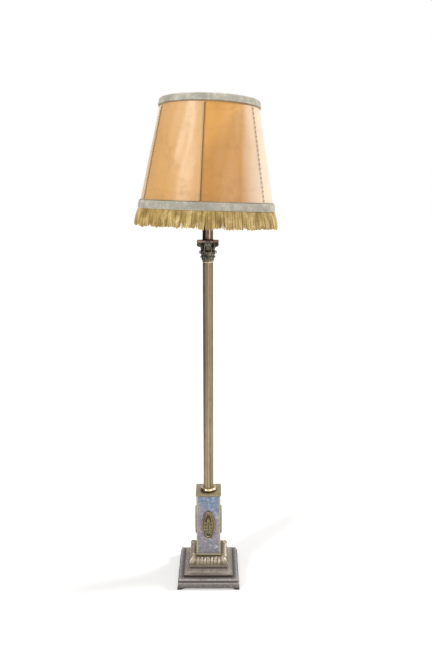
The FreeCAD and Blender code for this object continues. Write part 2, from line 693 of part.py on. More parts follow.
def abacus():
    """Square slab with hollowed sides and blunt corners, on a thinner one of the same shape."""
    tiers = []
    for scale, low, high in ((0.95, 0.0, 0.5), (1.0, 0.5, 1.0)):
        corner = scale * ABACUS_W
        blunt = corner - 5.0
        side = [(corner, -blunt), (corner - 5.0, -0.5 * blunt),
                (corner - 7.0, 0.0), (corner - 5.0, 0.5 * blunt)]
        base = [FreeCAD.Vector(x, y, Z_NECK - (1 - low) * ABACUS_H) for x, y in side + [(corner, blunt)]]
        points = [FreeCAD.Rotation(Z_AXIS, 90 * i).multVec(point) for i in range(4) for point in base]
        face = Part.Face(Part.makePolygon(points + points[:1]))
        tiers.append(face.extrude(FreeCAD.Vector(0, 0, (high - low) * ABACUS_H)))
    return tiers[0].fuse(tiers[1])


def capital():
    """Corinthian capital, one casting, with a spigot for the neck tube."""
    z_lip = Z_NECK - ABACUS_H
    waist = Z_CAPITAL + 0.5 * CAPITAL_H
    spigot = NECK_R - NECK_WALL - FIT_CLEAR
    bell = lathed((0.0, Z_CAPITAL), (BELL_FOOT_R, Z_CAPITAL), (BELL_FOOT_R + 1.0, waist - 8.0),
                  (BELL_FOOT_R + 3.5, waist + 12.0), (BELL_LIP_R, z_lip), (spigot, z_lip),
                  (spigot, Z_NECK + SPIGOT_H), (0.0, Z_NECK + SPIGOT_H),
                  flats=BELL_SIDES, start=180.0 / BELL_SIDES)
    shape = bell.fuse(abacus())
    lower = acanthus_leaf(BELL_FOOT_R, Z_CAPITAL, LOWER_LEAF_H, 14.5, LOWER_LEAF_TIP)
    upper = acanthus_leaf(BELL_FOOT_R + 0.6, Z_CAPITAL, UPPER_LEAF_H, 16.0, UPPER_LEAF_TIP)
    pieces = around(lower, LEAVES, 180.0 / LEAVES) + around(upper, LEAVES)
    pieces += around(corner_scroll(), 4, 45.0)
    fleuron = Part.makeBox(5.0, 7.0, 7.0, FreeCAD.Vector(ABACUS_W - 10.0, -3.5, -3.5))
    fleuron = shifted(spun(fleuron, 45, X_AXIS), z=Z_NECK - 0.5 * ABACUS_H)
    fleuron = fleuron.common(block(ABACUS_W, Z_NECK - 2 * ABACUS_H, 2 * ABACUS_H))
    pieces += around(fleuron, 4)
    shape = shape.fuse(pieces)
    return shape.cut(rod_hole(Z_CAPITAL, CAPITAL_H + SPIGOT_H))


# ---- neck, tie rod ----
def neck_tube():
    """Plain tube that carries the lampholder up into the shade."""
    return drum(NECK_R, Z_NECK, NECK_H, NECK_R - NECK_WALL)


def neck_cap():
    """Turned cap with a spigot into the neck tube."""
    top = Z_NECK_CAP + NECK_CAP_H
    spigot = NECK_R - NECK_WALL - FIT_CLEAR
    return lathed((ROD_HOLE_R, Z_NECK_CAP - SPIGOT_H), (spigot, Z_NECK_CAP - SPIGOT_H), (spigot, Z_NECK_CAP),
                  (NECK_R, Z_NECK_CAP), (NECK_R, top - 2.0), (NECK_R - 2.0, top), (ROD_HOLE_R, top))


def tie_rod():
    return drum(ROD_R, Z_ROD, Z_ROD_TOP - Z_ROD, ROD_BORE_R)


def rod_nuts():
    """The nut and wide washer under the ballast, and the nut on the neck cap."""
    low = hexagon(NUT_AF, Z_POCKET - WASHER_T - ROD_NUT_H, ROD_NUT_H, ROD_FIT_R)
    high = hexagon(NUT_AF, Z_NECK_CAP + NECK_CAP_H, ROD_NUT_H, ROD_FIT_R)
    washer_low = Z_POCKET - WASHER_T
    washer = lathed((ROD_HOLE_R, washer_low), (WASHER_R, washer_low),
                    (WASHER_R, Z_POCKET), (ROD_HOLE_R, Z_POCKET))
    return Part.makeCompound([low, high, washer])


# ---- lampholder and bulb ----
def holder_cap():
    """Domed cap that screws on the rod's end, with a rim round the insulator."""
    z_dome = Z_HOLDER + HOLDER_NECK_H
    z_rim = z_dome + HOLDER_DOME_H
    inner = HOLDER_R - HOLDER_WALL
    return lathed((ROD_FIT_R, Z_HOLDER), (HOLDER_NECK_R, Z_HOLDER), (HOLDER_NECK_R, z_dome),
                  (0.8 * HOLDER_R, z_dome + 0.35 * HOLDER_DOME_H), (HOLDER_R, z_rim), (HOLDER_R, Z_SHELL),
                  (inner, Z_SHELL), (inner, z_rim), (ROD_FIT_R, z_rim))


def holder_shell():
    """Barrel of the lampholder with the shade's flange; its upper half is truly round."""
    low = Z_FLANGE - FLANGE_T
    top = Z_SHELL + SHELL_H
    inner = HOLDER_R - HOLDER_WALL
    barrel = lathed((0.0, Z_SHELL), (HOLDER_R, Z_SHELL), (HOLDER_R, low),
                    (FLANGE_R, low), (FLANGE_R, Z_FLANGE),
                    (0.0, Z_FLANGE))
    barrel = barrel.fuse(drum(HOLDER_R, Z_FLANGE, top - Z_FLANGE))
    hollow = lathed((0.0, Z_SHELL), (inner, Z_SHELL), (inner, top), (0.0, top))
    return barrel.cut([hollow, key_hole()])


def key_hole():
    """The key's hole in the front of the lampholder."""
    return Part.makeCylinder(KEY_R + FIT_CLEAR, HOLDER_R + 1.0, FreeCAD.Vector(0, 0, Z_KEY),
                             FreeCAD.Vector(0, -1, 0))


def holder_insulator():
    """Ceramic body: a floor with the switch's pocket and a skirt round the screw shell."""
    outer = (HOLDER_R - HOLDER_WALL) - FIT_CLEAR
    low = Z_SHELL - HOLDER_RIM_H
    top = Z_SHELL + SHELL_H - 4.0
    well = CAVITY_R + SCREW_SHELL_T + HOLE_CLEAR
    body = lathed((0.0, low), (outer, low), (outer, top), (well, top), (well, Z_SEAT), (0.0, Z_SEAT))
    side = 2 * (ROTOR_R + HOLE_CLEAR)
    pocket = Part.makeBox(side, ROTOR_L + 2 * HOLE_CLEAR, side,
                          FreeCAD.Vector(-side / 2, -ROTOR_L / 2 - HOLE_CLEAR, Z_KEY - side / 2))
    return body.cut([pocket, key_hole()])


def holder_screw_shell():
    """Threaded brass cup that the bulb's cap turns in, flanged at its foot."""
    outer = CAVITY_R + SCREW_SHELL_T
    foot = Z_SEAT + SCREW_SHELL_T
    return lathed((CONTACT_R + 2.0, Z_SEAT), (outer, Z_SEAT), (outer, Z_SEAT + SCREW_SHELL_H),
                  (CAVITY_R, Z_SEAT + SCREW_SHELL_H), (CAVITY_R, foot), (CONTACT_R + 2.0, foot))


def centre_contact():
    """Spring tongue under the bulb's tip, bent up from the insulator's floor."""
    corner = FreeCAD.Vector(-CONTACT_R, -CONTACT_R / 2, Z_SEAT)
    return Part.makeBox(2 * CONTACT_R, CONTACT_R, CONTACT_H, corner)


def shade_ring_nut():
    """Ring nut over the shade's fitter."""
    bore = HOLDER_R + RING_FIT
    top = Z_RING_NUT + RING_NUT_H
    return lathed((bore, Z_RING_NUT), (RING_NUT_R, Z_RING_NUT), (RING_NUT_R, top), (bore, top))


def switch_key():
    """Turn key: a shaft with a flat paddle, pointing to the front."""
    wide, thick, long = KEY_PADDLE
    start = ROTOR_L / 2
    shaft = Part.makeCylinder(KEY_R, KEY_REACH - start, FreeCAD.Vector(0, -start, Z_KEY),
                              FreeCAD.Vector(0, -1, 0))
    face = outline((-1.0, 0.0), (1.0, 0.0), (wide / 2, 0.35 * long), (wide / 2, 0.8 * long),
                   (0.3 * wide, long),
                   (-0.3 * wide, long), (-wide / 2, 0.8 * long), (-wide / 2, 0.35 * long))
    paddle = shifted(face.extrude(FreeCAD.Vector(0, thick, 0)), y=-thick / 2)
    paddle = shifted(spun(spun(paddle, 90, Z_AXIS), 90, X_AXIS), y=-KEY_REACH + 2.0, z=Z_KEY)
    return shaft.fuse(paddle)


def switch_rotor():
    """Snap rotor on the key's inner end: a square block with a slot across it."""
    half = ROTOR_R / math.sqrt(2)
    rotor = Part.makeBox(2 * half, ROTOR_L, 2 * half, FreeCAD.Vector(-half, -ROTOR_L / 2, Z_KEY - half))
    groove = Part.makeBox(2 * half, 1.5, 1.6, FreeCAD.Vector(-half, ROTOR_L / 2 - 1.5, Z_KEY - 0.8))
    return rotor.cut(groove)


def bulb_cap():
    """Screw cap of the bulb, closed round its tip contact and hollow above."""
    top = Z_BULB + BULB_CAP_H
    rim = BULB_CAP_R - 1.0
    return lathed((0.0, Z_BULB), (5.0, Z_BULB), (BULB_CAP_R, Z_BULB + 5.0), (BULB_CAP_R, top), (rim, top),
                  (rim, top - 6.0), (0.0, top - 6.0))


def bulb_glass():
    """Pear-shaped glass, open at the neck that the cap holds: bevelled bands round a globe."""
    low = Z_BULB + BULB_CAP_H - 5.0
    middle = Z_BULB + BULB_H - BULB_R
    neck = BULB_CAP_R - 1.0 - SEAT_GAP
    turns = [math.radians(t) for t in (-18, 18, 50, 75)]
    globe = [(BULB_R * math.cos(t), middle + BULB_R * math.sin(t)) for t in turns]
    deep = BULB_R - GLASS_T - 1.0
    return lathed((neck - GLASS_T, low), (neck, low), (neck, low + 8.0), *globe, (0.0, middle + BULB_R),
                  (0.0, middle + deep), (0.75 * deep, middle + 0.55 * deep), (deep - 1.5, middle),
                  (neck - GLASS_T, low + 9.0))


def bulb_stem():
    """Square glass stem with two filament posts that spread to its top."""
    low = Z_BULB + BULB_CAP_H - 6.0
    stem = block(STEM_W, low, 0.5 * STEM_H)
    post = outline((0.5, low + 0.45 * STEM_H), (STEM_W, low + 0.45 * STEM_H), (2.5 * STEM_W, low + STEM_H),
                   (2.5 * STEM_W - 1.5, low + STEM_H))
    post = shifted(post.extrude(FreeCAD.Vector(0, 1.5, 0)), y=-0.75)
    return stem.fuse([post, spun(post, 180)])


# ---- shade ----
def leaned(shape):
    """Lean an upright shade piece about the hem's centre and set it over the column."""
    return shifted(spun(shape, SHADE_LEAN, Y_AXIS), SHADE_SHIFT, 0.0, SHADE_HEM_Z)


def cone_r(height, inward=0.0):
    """Radius of the braid's outer face at a height above the hem, or of a cone this far inside it."""
    return SHADE_HEM_R - CONE_SLOPE * height - inward * CONE_SECANT


def cone_band(low, high, outer, inner):
    """The outline of a band that follows the shade, between two depths inside the outer face."""
    return [(cone_r(low, inner), low), (cone_r(low, outer), low), (cone_r(high, outer), high),
            (cone_r(high, inner), high)]


PANEL_OUT = BRAID_T + SEAT_GAP
PANEL_IN = PANEL_OUT + PARCHMENT_T
WIRE_IN = PANEL_IN + RING_R * 2 / math.sqrt(3) + SEAT_GAP
TOP_RING_H = SHADE_H - RING_INSET


def ring_centre_r(height):
    return cone_r(height, WIRE_IN)


def shade_turned(corners):
    """A piece that goes all round the shade, with a corner of its flats behind every seam."""
    return lathed(*corners, flats=SHADE_SIDES, start=SEAM_START - 90)


def wire_ring(height):
    """A ring of round wire in six flats, one of them square to the struts."""
    corner = RING_R * 2 / math.sqrt(3)
    tilt = math.atan(CONE_SLOPE)
    middle = ring_centre_r(height)
    turns = [tilt + math.radians(60 * i) for i in range(6)]
    return shade_turned([(middle + corner * math.cos(t), height + corner * math.sin(t)) for t in turns])


def top_ring():
    return leaned(wire_ring(TOP_RING_H))


def bottom_ring():
    return leaned(wire_ring(RING_INSET))


def shade_struts():
    """Wires behind the seams, from ring to ring."""
    low = FreeCAD.Vector(ring_centre_r(RING_INSET), 0, RING_INSET)
    high = FreeCAD.Vector(ring_centre_r(TOP_RING_H), 0, TOP_RING_H)
    way = (high - low).normalize()
    out = FreeCAD.Vector(way.z, 0, -way.x) * STRUT_R
    across = Y_AXIS * STRUT_R
    ends = [low + way * RING_R, high - way * RING_R]
    strut = skinned([[end + out, end + across, end - out, end - across] for end in ends])
    return leaned(Part.makeCompound(around(strut, PANELS, SEAM_START - 90)))


def parchment(index):
    """One curved panel, between two seams."""
    corners = cone_band(0.0, SHADE_H - PARCHMENT_T, PANEL_OUT, PANEL_IN)
    gap = math.degrees(SEAM_GAP / SHADE_HEM_R)
    start = SEAM_START - 90 + gap / 2 + 360.0 / PANELS * index
    return leaned(lathed(*corners, flats=PANEL_SIDES, start=start, sweep=360.0 / PANELS - gap))


def top_braid():
    """Braid round the rim, folded over the panels' top edge."""
    low = SHADE_H - TOP_BRAID_H
    lap = SHADE_H - PARCHMENT_T
    steps = cone_band(low, SHADE_H, 0.0, BRAID_T)[:3]
    steps += [(cone_r(SHADE_H, PANEL_IN), SHADE_H), (cone_r(lap, PANEL_IN), lap),
              (cone_r(lap, BRAID_T), lap)]
    return leaned(shade_turned(steps))


def bottom_braid():
    return leaned(shade_turned(cone_band(0.0, HEM_BRAID_H, 0.0, BRAID_T)))


def fringe():
    """Hanging skirt of bullion, flaring below the hem."""
    top = SHADE_HEM_R
    low = SHADE_HEM_R + FRINGE_FLARE
    bulge = top + 0.7 * FRINGE_FLARE
    return leaned(shade_turned([(top - FRINGE_TOP_T, 0.0), (low - FRINGE_HEM_T, -FRINGE_H), (low, -FRINGE_H),
                                (bulge, -0.5 * FRINGE_H), (top, 0.0)]))


def fitter_ring():
    """Flat ring with a round bore that turns on the lampholder's barrel."""
    disc = lathed((0.0, Z_FITTER), (FITTER_R, Z_FITTER),
                  (FITTER_R, Z_FITTER + FITTER_T), (0.0, Z_FITTER + FITTER_T))
    return disc.cut(drum(HOLDER_R + FIT_CLEAR, Z_FITTER, FITTER_T))


def spider_arms():
    """Three bent straps from the level fitter ring up to the leaning top ring."""
    foot = Z_FITTER + FITTER_T
    ring = top_ring()
    arms = []
    for i in range(ARMS):
        angle = math.radians(ARM_START + 360.0 * i / ARMS)
        radius = ring_centre_r(TOP_RING_H)
        rim = Part.Vertex(radius * math.cos(angle), radius * math.sin(angle), TOP_RING_H)
        end = leaned(rim).Point
        reach = math.hypot(end.x, end.y)
        slope = math.atan2(end.z - foot, reach - ARM_FLAT)
        lift = ARM_T / math.cos(slope / 2)
        bend = (ARM_FLAT - lift * math.sin(slope / 2), foot + lift * math.cos(slope / 2))
        side = outline((RING_NUT_R + 1.0, foot), (ARM_FLAT, foot), (reach, end.z),
                       (reach - ARM_T * math.sin(slope), end.z + ARM_T * math.cos(slope)), bend,
                       (RING_NUT_R + 1.0, foot + ARM_T))
        arm = shifted(side.extrude(FreeCAD.Vector(0, ARM_W, 0)), y=-ARM_W / 2)
        arms.append(spun(arm, math.degrees(math.atan2(end.y, end.x))).cut(ring))
    return Part.makeCompound(arms)


NODES = {
    "bracket_feet": bracket_feet, "base_plinth": base_plinth,
    "cord_bush": cord_bush, "base_step": base_step, "leaf_moulding": leaf_moulding,
    "ballast_weight": ballast_weight, "bottom_plate": bottom_plate, "bottom_screws": bottom_screws,
    "die_shell": die_shell, "cap_plate": cap_plate,
    "collar_ring": collar_ring, "column_tube": column_tube, "astragal_ring": astragal_ring,
    "capital": capital, "neck_tube": neck_tube, "neck_cap": neck_cap, "tie_rod": tie_rod,
    "rod_nuts": rod_nuts, "holder_cap": holder_cap,
    "holder_shell": holder_shell, "holder_insulator": holder_insulator,
    "holder_screw_shell": holder_screw_shell, "centre_contact": centre_contact,
    "shade_ring_nut": shade_ring_nut, "switch_key": switch_key, "switch_rotor": switch_rotor,
    "bulb_cap": bulb_cap, "bulb_glass": bulb_glass, "bulb_stem": bulb_stem,
    "top_ring": top_ring, "bottom_ring": bottom_ring, "shade_struts": shade_struts,
    "top_braid": top_braid, "bottom_braid": bottom_braid, "fringe": fringe,
    "fitter_ring": fitter_ring, "spider_arms": spider_arms,
}

os.makedirs("parts", exist_ok=True)
for node, make in NODES.items():
    save(node, make())
for name, degrees in SIDES.items():
    save("panel_" + name, painted_panel(degrees))
    save("medallion_" + name, medallion(degrees))
for index in range(PANELS):
    save("parchment_" + str(index + 1), parchment(index))
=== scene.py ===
# %% [markdown]
# # A candlestick floor lamp with a fringed parchment shade
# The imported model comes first. It is the fixed frame that every visible piece is built round,
# so each place below is either read from it or follows from a few sizes of the real lamp.

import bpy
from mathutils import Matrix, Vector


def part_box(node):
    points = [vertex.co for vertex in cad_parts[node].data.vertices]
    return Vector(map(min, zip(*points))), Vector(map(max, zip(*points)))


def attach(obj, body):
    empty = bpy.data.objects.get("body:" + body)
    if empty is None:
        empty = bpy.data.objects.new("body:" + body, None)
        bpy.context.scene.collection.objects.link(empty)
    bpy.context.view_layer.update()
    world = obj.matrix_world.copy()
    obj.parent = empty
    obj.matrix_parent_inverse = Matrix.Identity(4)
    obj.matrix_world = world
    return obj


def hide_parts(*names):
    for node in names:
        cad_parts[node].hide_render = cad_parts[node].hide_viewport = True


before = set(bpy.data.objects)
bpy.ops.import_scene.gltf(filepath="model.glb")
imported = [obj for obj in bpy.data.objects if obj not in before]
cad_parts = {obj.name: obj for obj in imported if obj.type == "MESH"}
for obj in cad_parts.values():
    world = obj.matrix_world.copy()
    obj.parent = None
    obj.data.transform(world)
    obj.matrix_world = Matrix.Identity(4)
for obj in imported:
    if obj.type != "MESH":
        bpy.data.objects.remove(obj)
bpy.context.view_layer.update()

# %% [markdown]
# Only Python's own modules and Blender's are needed. One seed makes every run draw the same random
# numbers, so the stitches and the fringe fall the same way each time.

# %% Modules
import math
import random

import bmesh
import bpy
from mathutils import Matrix, Vector

random.seed(7)
print("Blender", bpy.app.version_string)

# %% [markdown]
# Sizes are written in millimetres, as a maker would write them, and each mesh is scaled once on
# the way in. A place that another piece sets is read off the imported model: one function gives the
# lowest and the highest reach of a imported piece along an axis.

# %% Reading places off the frame
MM = 0.001
X, Y, Z = range(3)


def reach(node, axis=Z):
    """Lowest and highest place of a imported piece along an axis, in millimetres."""
    low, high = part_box(node)
    return round(low[axis] / MM, 3), round(high[axis] / MM, 3)


print("the lamp's top is at", reach("top_braid")[1], "mm")

# %% [markdown]
# ## The camera
# The photograph was taken by a standing person two metres in front of the lamp, with the lens
# tilted down to take in the whole of it. A camera is an object that looks along its own -Z, so it
# is turned up from straight down by ninety degrees less the tilt. The sensor's long side is the
# picture's height here.

# %% Camera
EYE = Vector((0.02766, -2.0842, 1.3859))
TILT_DOWN = math.radians(11.56)
LENS_MM = 33.88
SENSOR_MM = 36.0


def make_camera():
    data = bpy.data.cameras.new("eye")
    data.lens, data.sensor_width, data.sensor_fit = LENS_MM, SENSOR_MM, "AUTO"
    camera = bpy.data.objects.new("eye", data)
    camera.location = EYE
    camera.rotation_euler = (math.pi / 2 - TILT_DOWN, 0.0, 0.0)
    bpy.context.scene.collection.objects.link(camera)
    bpy.context.scene.camera = camera
    return camera


print("camera at", tuple(make_camera().location))

# %% [markdown]
# ## Writing shaders as sums
# A material is a small graph of nodes. Wiring every node by hand hides what the graph works out,
# so one class wraps a socket and lets Python's own operators add the Math nodes. Every other kind
# of node comes from one method, which takes its type, its settings and what goes into it.


# %% Signals
class Signal:
    """One shader socket that Python's arithmetic works on."""

    def __init__(self, finish, socket):
        self.finish, self.socket = finish, socket

    def maths(self, operation, *values, clamp=False):
        return self.finish.maths(operation, *values, clamp=clamp)

    def __add__(self, other):
        return self.maths("ADD", self, other)

    def __sub__(self, other):
        return self.maths("SUBTRACT", self, other)

    def __rsub__(self, other):
        return self.maths("SUBTRACT", other, self)

    def __mul__(self, other):
        return self.maths("MULTIPLY", self, other)

    def ramp(self, low, high):
        """0 below low, 1 above high, and even between them."""
        return self.maths("MULTIPLY", self - low, 1.0 / (high - low), clamp=True)

    __radd__, __rmul__ = __add__, __mul__


print("sockets add, subtract, multiply and ramp:", Signal.__name__)

# %% [markdown]
# A finish is one such graph. It offers what a painter looks for on a worn object: a place on the
# piece, a cloudy noise, the depth of a corner, the nearness of an edge, and a mix of two colours.
# Its last method closes the graph with the shader and a bump. The same class builds the graph of
# the room's light, which Blender keeps in a world and not in a material.


# %% Finishes
class Finish:
    """A material, or another owner of a node graph, under construction."""

    def __init__(self, name, owner=None):
        self.owner = owner or bpy.data.materials.new(name)
        self.owner.use_nodes = True
        self.tree = self.owner.node_tree
        self.tree.nodes.clear()
        self.place = self.node("TexCoord", out="Object")

    def plug(self, socket, value):
        if isinstance(value, Signal):
            self.tree.links.new(value.socket, socket)
        elif socket.type == "RGBA" and len(value) == 3:
            socket.default_value = (*value, 1.0)
        else:
            socket.default_value = value

    def node(self, kind, settings=None, *values, out=None, **named):
        """Add a node: settings first, then its sockets in order or by name."""
        made = self.tree.nodes.new("ShaderNode" + kind)
        for key, value in (settings or {}).items():
            setattr(made, key, value)
        for socket, value in zip([s for s in made.inputs if s.enabled], values):
            self.plug(socket, value)
        for key, value in named.items():
            self.plug(made.inputs[key.replace("_", " ")], value)
        outputs = [s for s in made.outputs if s.enabled] or [None]
        return Signal(self, made.outputs[out] if out else outputs[0])

    def maths(self, operation, *values, clamp=False):
        return self.node("Math", {"operation": operation, "use_clamp": clamp}, *values)

    def axis(self, letter):
        return self.node("SeparateXYZ", None, self.place, out=letter)

    def noise(self, scale, detail=3.0, roughness=0.55, stretch=(1, 1, 1)):
        where = self.node("Mapping", None, Vector=self.place, Scale=stretch)
        return self.node("TexNoise", None, Vector=where, Scale=scale, Detail=detail, Roughness=roughness)

    def mix(self, factor, first, second):
        return self.node("Mix", {"data_type": "RGBA"}, factor, first, second)

    def hollow(self, distance):
        """1 out in the open and 0 deep in a corner."""
        return self.node("AmbientOcclusion", {"samples": 6}, Distance=distance, out="AO")

    def edge(self, radius):
        """0 on a flat and rising towards 1 on a sharp edge or in a sharp corner."""
        soft = self.node("Bevel", {"samples": 4}, Radius=radius)
        plain = self.node("NewGeometry", out="Normal")
        return 1.0 - self.node("VectorMath", {"operation": "DOT_PRODUCT"}, soft, plain, out="Value")

    def surface(self, height=None, depth=0.0005, **sockets):
        """The shader itself, with a bump where there is a height."""
        if height is not None:
            sockets["Normal"] = self.node("Bump", None, Strength=1.0, Distance=depth, Height=height)
        shader = self.node("BsdfPrincipled", None, **sockets)
        self.node("OutputMaterial", None, Surface=shader)
        return self.owner


print("a finish is made by", Finish.surface.__name__)

# %% [markdown]
# ## Forms
# Every piece ends in the same way, whatever it is made from: it is linked to the scene, gets its
# finish, rides on the body that it moves with, and hides the imported pieces that it stands for.


# %% Settling a piece
def settle(piece, finishes, body, replaces):
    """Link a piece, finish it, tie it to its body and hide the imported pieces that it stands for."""
    for finish in finishes if isinstance(finishes, (list, tuple)) else [finishes]:
        piece.data.materials.append(finish)
    bpy.context.scene.collection.objects.link(piece)
    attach(piece, body)
    if replaces:
        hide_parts(*replaces)
    return piece


# %% [markdown]
# Nearly every piece of this lamp is a sheet of points in rows: turned pieces are rows round an
# axis, square mouldings are rows round a square, and leaves and panels are plain rows. One class
# collects such sheets, and turns them into one piece. A mark picks which finish a sheet gets.

# %% Rows of points
CREASE = math.radians(38)


class Form:
    """Points and faces on their way to being one mesh."""

    def __init__(self):
        self.points, self.faces, self.marks = [], [], []

    def grid(self, rows, wrap=False, close=False, capped=False, mark=0):
        """Rows of points with faces between; wrap joins a row's ends, close the last row to the first."""
        start, across, count = len(self.points), len(rows[0]), len(rows)
        self.points += [Vector(p) for row in rows for p in row]
        for i in range(count if close else count - 1):
            for j in range(across if wrap else across - 1):
                a, b, k = start + i * across, start + (i + 1) % count * across, (j + 1) % across
                self.faces.append((a + j, a + k, b + k, b + j))
                self.marks.append(mark)
        if capped:
            self.faces.append(tuple(range(start, start + across)))
            self.faces.append(tuple(range(start + (count - 1) * across, start + count * across)))
            self.marks += [mark, mark]

    def spin(self, profile, around=96):
        """Turn a profile of (radius, height) about the lamp's axis."""
        turns = [2 * math.pi * i / around for i in range(around)]
        rows = [[(r * math.sin(t), -r * math.cos(t), z) for t in turns] for r, z in profile]
        self.grid(rows, wrap=True)

    def square(self, profile, round_edge=0.8):
        """Carry a profile of (half width, height) round a square with softly rounded corners."""
        rows = []
        for w, z in profile:
            row = []
            for quarter in range(4):
                for step in range(4):
                    t = math.radians(90 * quarter + 30 * step)
                    cx = (w - round_edge) * (1 if quarter in (0, 3) else -1)
                    cy = (w - round_edge) * (1 if quarter in (0, 1) else -1)
                    row.append((cx + round_edge * math.cos(t), cy + round_edge * math.sin(t), z))
            rows.append(row)
        self.grid(rows, wrap=True)

    def add(self, other, where=Matrix()):
        """Take in a copy of another form, moved."""
        start = len(self.points)
        self.points += [where @ p for p in other.points]
        self.faces += [tuple(start + n for n in face) for face in other.faces]
        self.marks += other.marks

    def around(self, other, count, first=0.0):
        """Take in copies of a form all round the axis."""
        for i in range(count):
            self.add(other, Matrix.Rotation(math.radians(first + 360.0 * i / count), 4, "Z"))

    def piece(self, name, finishes, slot, body="stand", replaces=(), where=Matrix(), crease=CREASE):
        """Make the mesh, give it its finish and let it ride on its body."""
        mesh = bmesh.new()
        corners = [mesh.verts.new(where @ p * MM) for p in self.points]
        for face, mark in zip(self.faces, self.marks):
            made = mesh.faces.new([corners[n] for n in face])
            made.material_index, made.smooth = mark, True
        bmesh.ops.remove_doubles(mesh, verts=mesh.verts, dist=1e-6)
        bmesh.ops.recalc_face_normals(mesh, faces=mesh.faces)
        data = bpy.data.meshes.new(name)
        mesh.to_mesh(data)
        mesh.free()
        data.set_sharp_from_angle(angle=crease)
        return settle(bpy.data.objects.new(name, data), finishes, body, replaces)


print("edges turn sharp above", round(math.degrees(CREASE)), "degrees")

# %% [markdown]
# Cast and turned profiles never have dead sharp corners, so a small helper eases each corner of a
# profile into a short curve before it is spun. A second one draws a plain arc.

# %% Eased profiles
EASE_STEPS = 3


def eased(corners, radius=1.0):
    """The same profile with its inner corners rounded."""
    points = [corners[0]]
    for before, here, after in zip(corners, corners[1:], corners[2:]):
        a, b, c = Vector(before), Vector(here), Vector(after)
        start = b + (a - b).normalized() * min(radius, (a - b).length * 0.45)
        end = b + (c - b).normalized() * min(radius, (c - b).length * 0.45)
        for i in range(EASE_STEPS + 1):
            t = i / EASE_STEPS
            points.append(tuple(start * (1 - t) ** 2 + b * 2 * t * (1 - t) + end * t * t))
    return points + [corners[-1]]


def arc(cx, cy, radius, start, end, steps=8):
    """Points of an arc, its angles in degrees."""
    turns = [math.radians(start + (end - start) * i / steps) for i in range(steps + 1)]
    return [(cx + radius * math.cos(t), cy + radius * math.sin(t)) for t in turns]


print("easing a square corner gives", len(eased([(0, 0), (1, 0), (1, 1)])), "points")

# %% [markdown]
# ## The metals
# The castings of the stand were bronzed and gilded by hand, and years of polishing have worn the
# colour off whatever stands proud. One function makes all of them: a noise clouds the tone, worn
# edges come up bright, as wear and as painted highlight, deep corners hold painted shade and dirt,
# and bands of height can be painted as shade or as light.


# %% Aged metal
def aged_metal(name, dark, middle, bright, rough=0.42, edge_wear_and_highlight=0.0012, metal=0.75, pits=0.00012, shade_and_dirt_reach=0.010,
               tint=(0.30, 0.19, 0.17), mottle=0.5, shaded_bands=(), lit_bands=()):
    """Cast metal: mottled, worn and highlit edges, painted shade and dirt in hollows, painted lit and shaded
    bands.
    """
    finish = Finish(name)
    tone = finish.noise(90.0, detail=6.0, roughness=0.7).ramp(0.34, 0.66)
    body = finish.mix(tone * mottle + (1.0 - mottle), dark, middle)
    bloom = finish.noise(40.5, detail=5.0, roughness=0.7).ramp(0.50, 0.72)
    body = finish.mix(bloom * 0.35, body, tint)
    scratch = finish.noise(420.0, detail=2.0, stretch=(1, 1, 0.06))
    # Worn edges come up bright: real wear, and also a painted highlight along the edges.
    worn_and_highlit = (finish.edge(edge_wear_and_highlight) * 9.0 + (scratch - 0.5) * 0.5).ramp(0.08, 0.8)
    body = finish.mix(worn_and_highlit * (0.35 + tone * 0.6), body, bright)
    height = finish.axis("Z")
    # Bands of height painted as shade, darker, and as light, brighter: quirks in shade, beads lit.
    for bands, tone_of_band, amount in ((shaded_bands, dark, 0.66), (lit_bands, bright, 0.36)):
        for low, high in bands:
            band = height.ramp(low - 0.0012, low) * (1.0 - height.ramp(high, high + 0.0012))
            body = finish.mix(band * (tone * 0.4 + amount - 0.2), body, tone_of_band)
    # Painted shade and dirt deep in the corners, where little light reaches.
    open_air = finish.hollow(shade_and_dirt_reach).ramp(0.35, 0.95)
    colour = finish.mix(open_air, dark, body)
    grain = finish.noise(900.0, detail=3.0)
    gloss = rough + (grain - 0.5) * 0.16 - worn_and_highlit * 0.12 + (1.0 - open_air) * 0.25
    relief = grain * 0.5 + finish.noise(160.0) * 0.8
    return finish.surface(relief, pits, Base_Color=colour, Roughness=gloss, Metallic=metal)


print("one recipe makes every metal:", aged_metal.__name__)

# %% [markdown]
# Each casting has its own recipe of dark, middle and bright tone: the base is a brown-grey pewter
# with painted shade in its quirks and a painted highlight on its beads, the feet and the capital are
# dark bronze, and the oval, the leaves and the cap plate are old gilt.

# %% The stand's castings
FEET_BRONZE = aged_metal("feet bronze", (0.022, 0.020, 0.020), (0.085, 0.078, 0.074), (0.34, 0.30, 0.27))
CAPITAL_BRONZE = aged_metal("capital bronze", (0.014, 0.014, 0.010), (0.125, 0.120, 0.082),
                            (0.58, 0.54, 0.42), edge_wear_and_highlight=0.0016, shade_and_dirt_reach=0.007, tint=(0.20, 0.125, 0.085))
ABACUS_BRONZE = aged_metal("abacus bronze", (0.040, 0.028, 0.020), (0.19, 0.13, 0.095), (0.56, 0.44, 0.35),
                           edge_wear_and_highlight=0.0020)
PLINTH_PEWTER = aged_metal("plinth pewter", (0.045, 0.038, 0.034), (0.255, 0.235, 0.235), (0.58, 0.53, 0.50),
                           rough=0.40, metal=0.55, edge_wear_and_highlight=0.0034, shade_and_dirt_reach=0.022, tint=(0.30, 0.205, 0.16),
                           mottle=0.62, shaded_bands=((0.0245, 0.0302), (0.0375, 0.0379)),
                           lit_bands=((0.0312, 0.0358), (0.0222, 0.0240)))
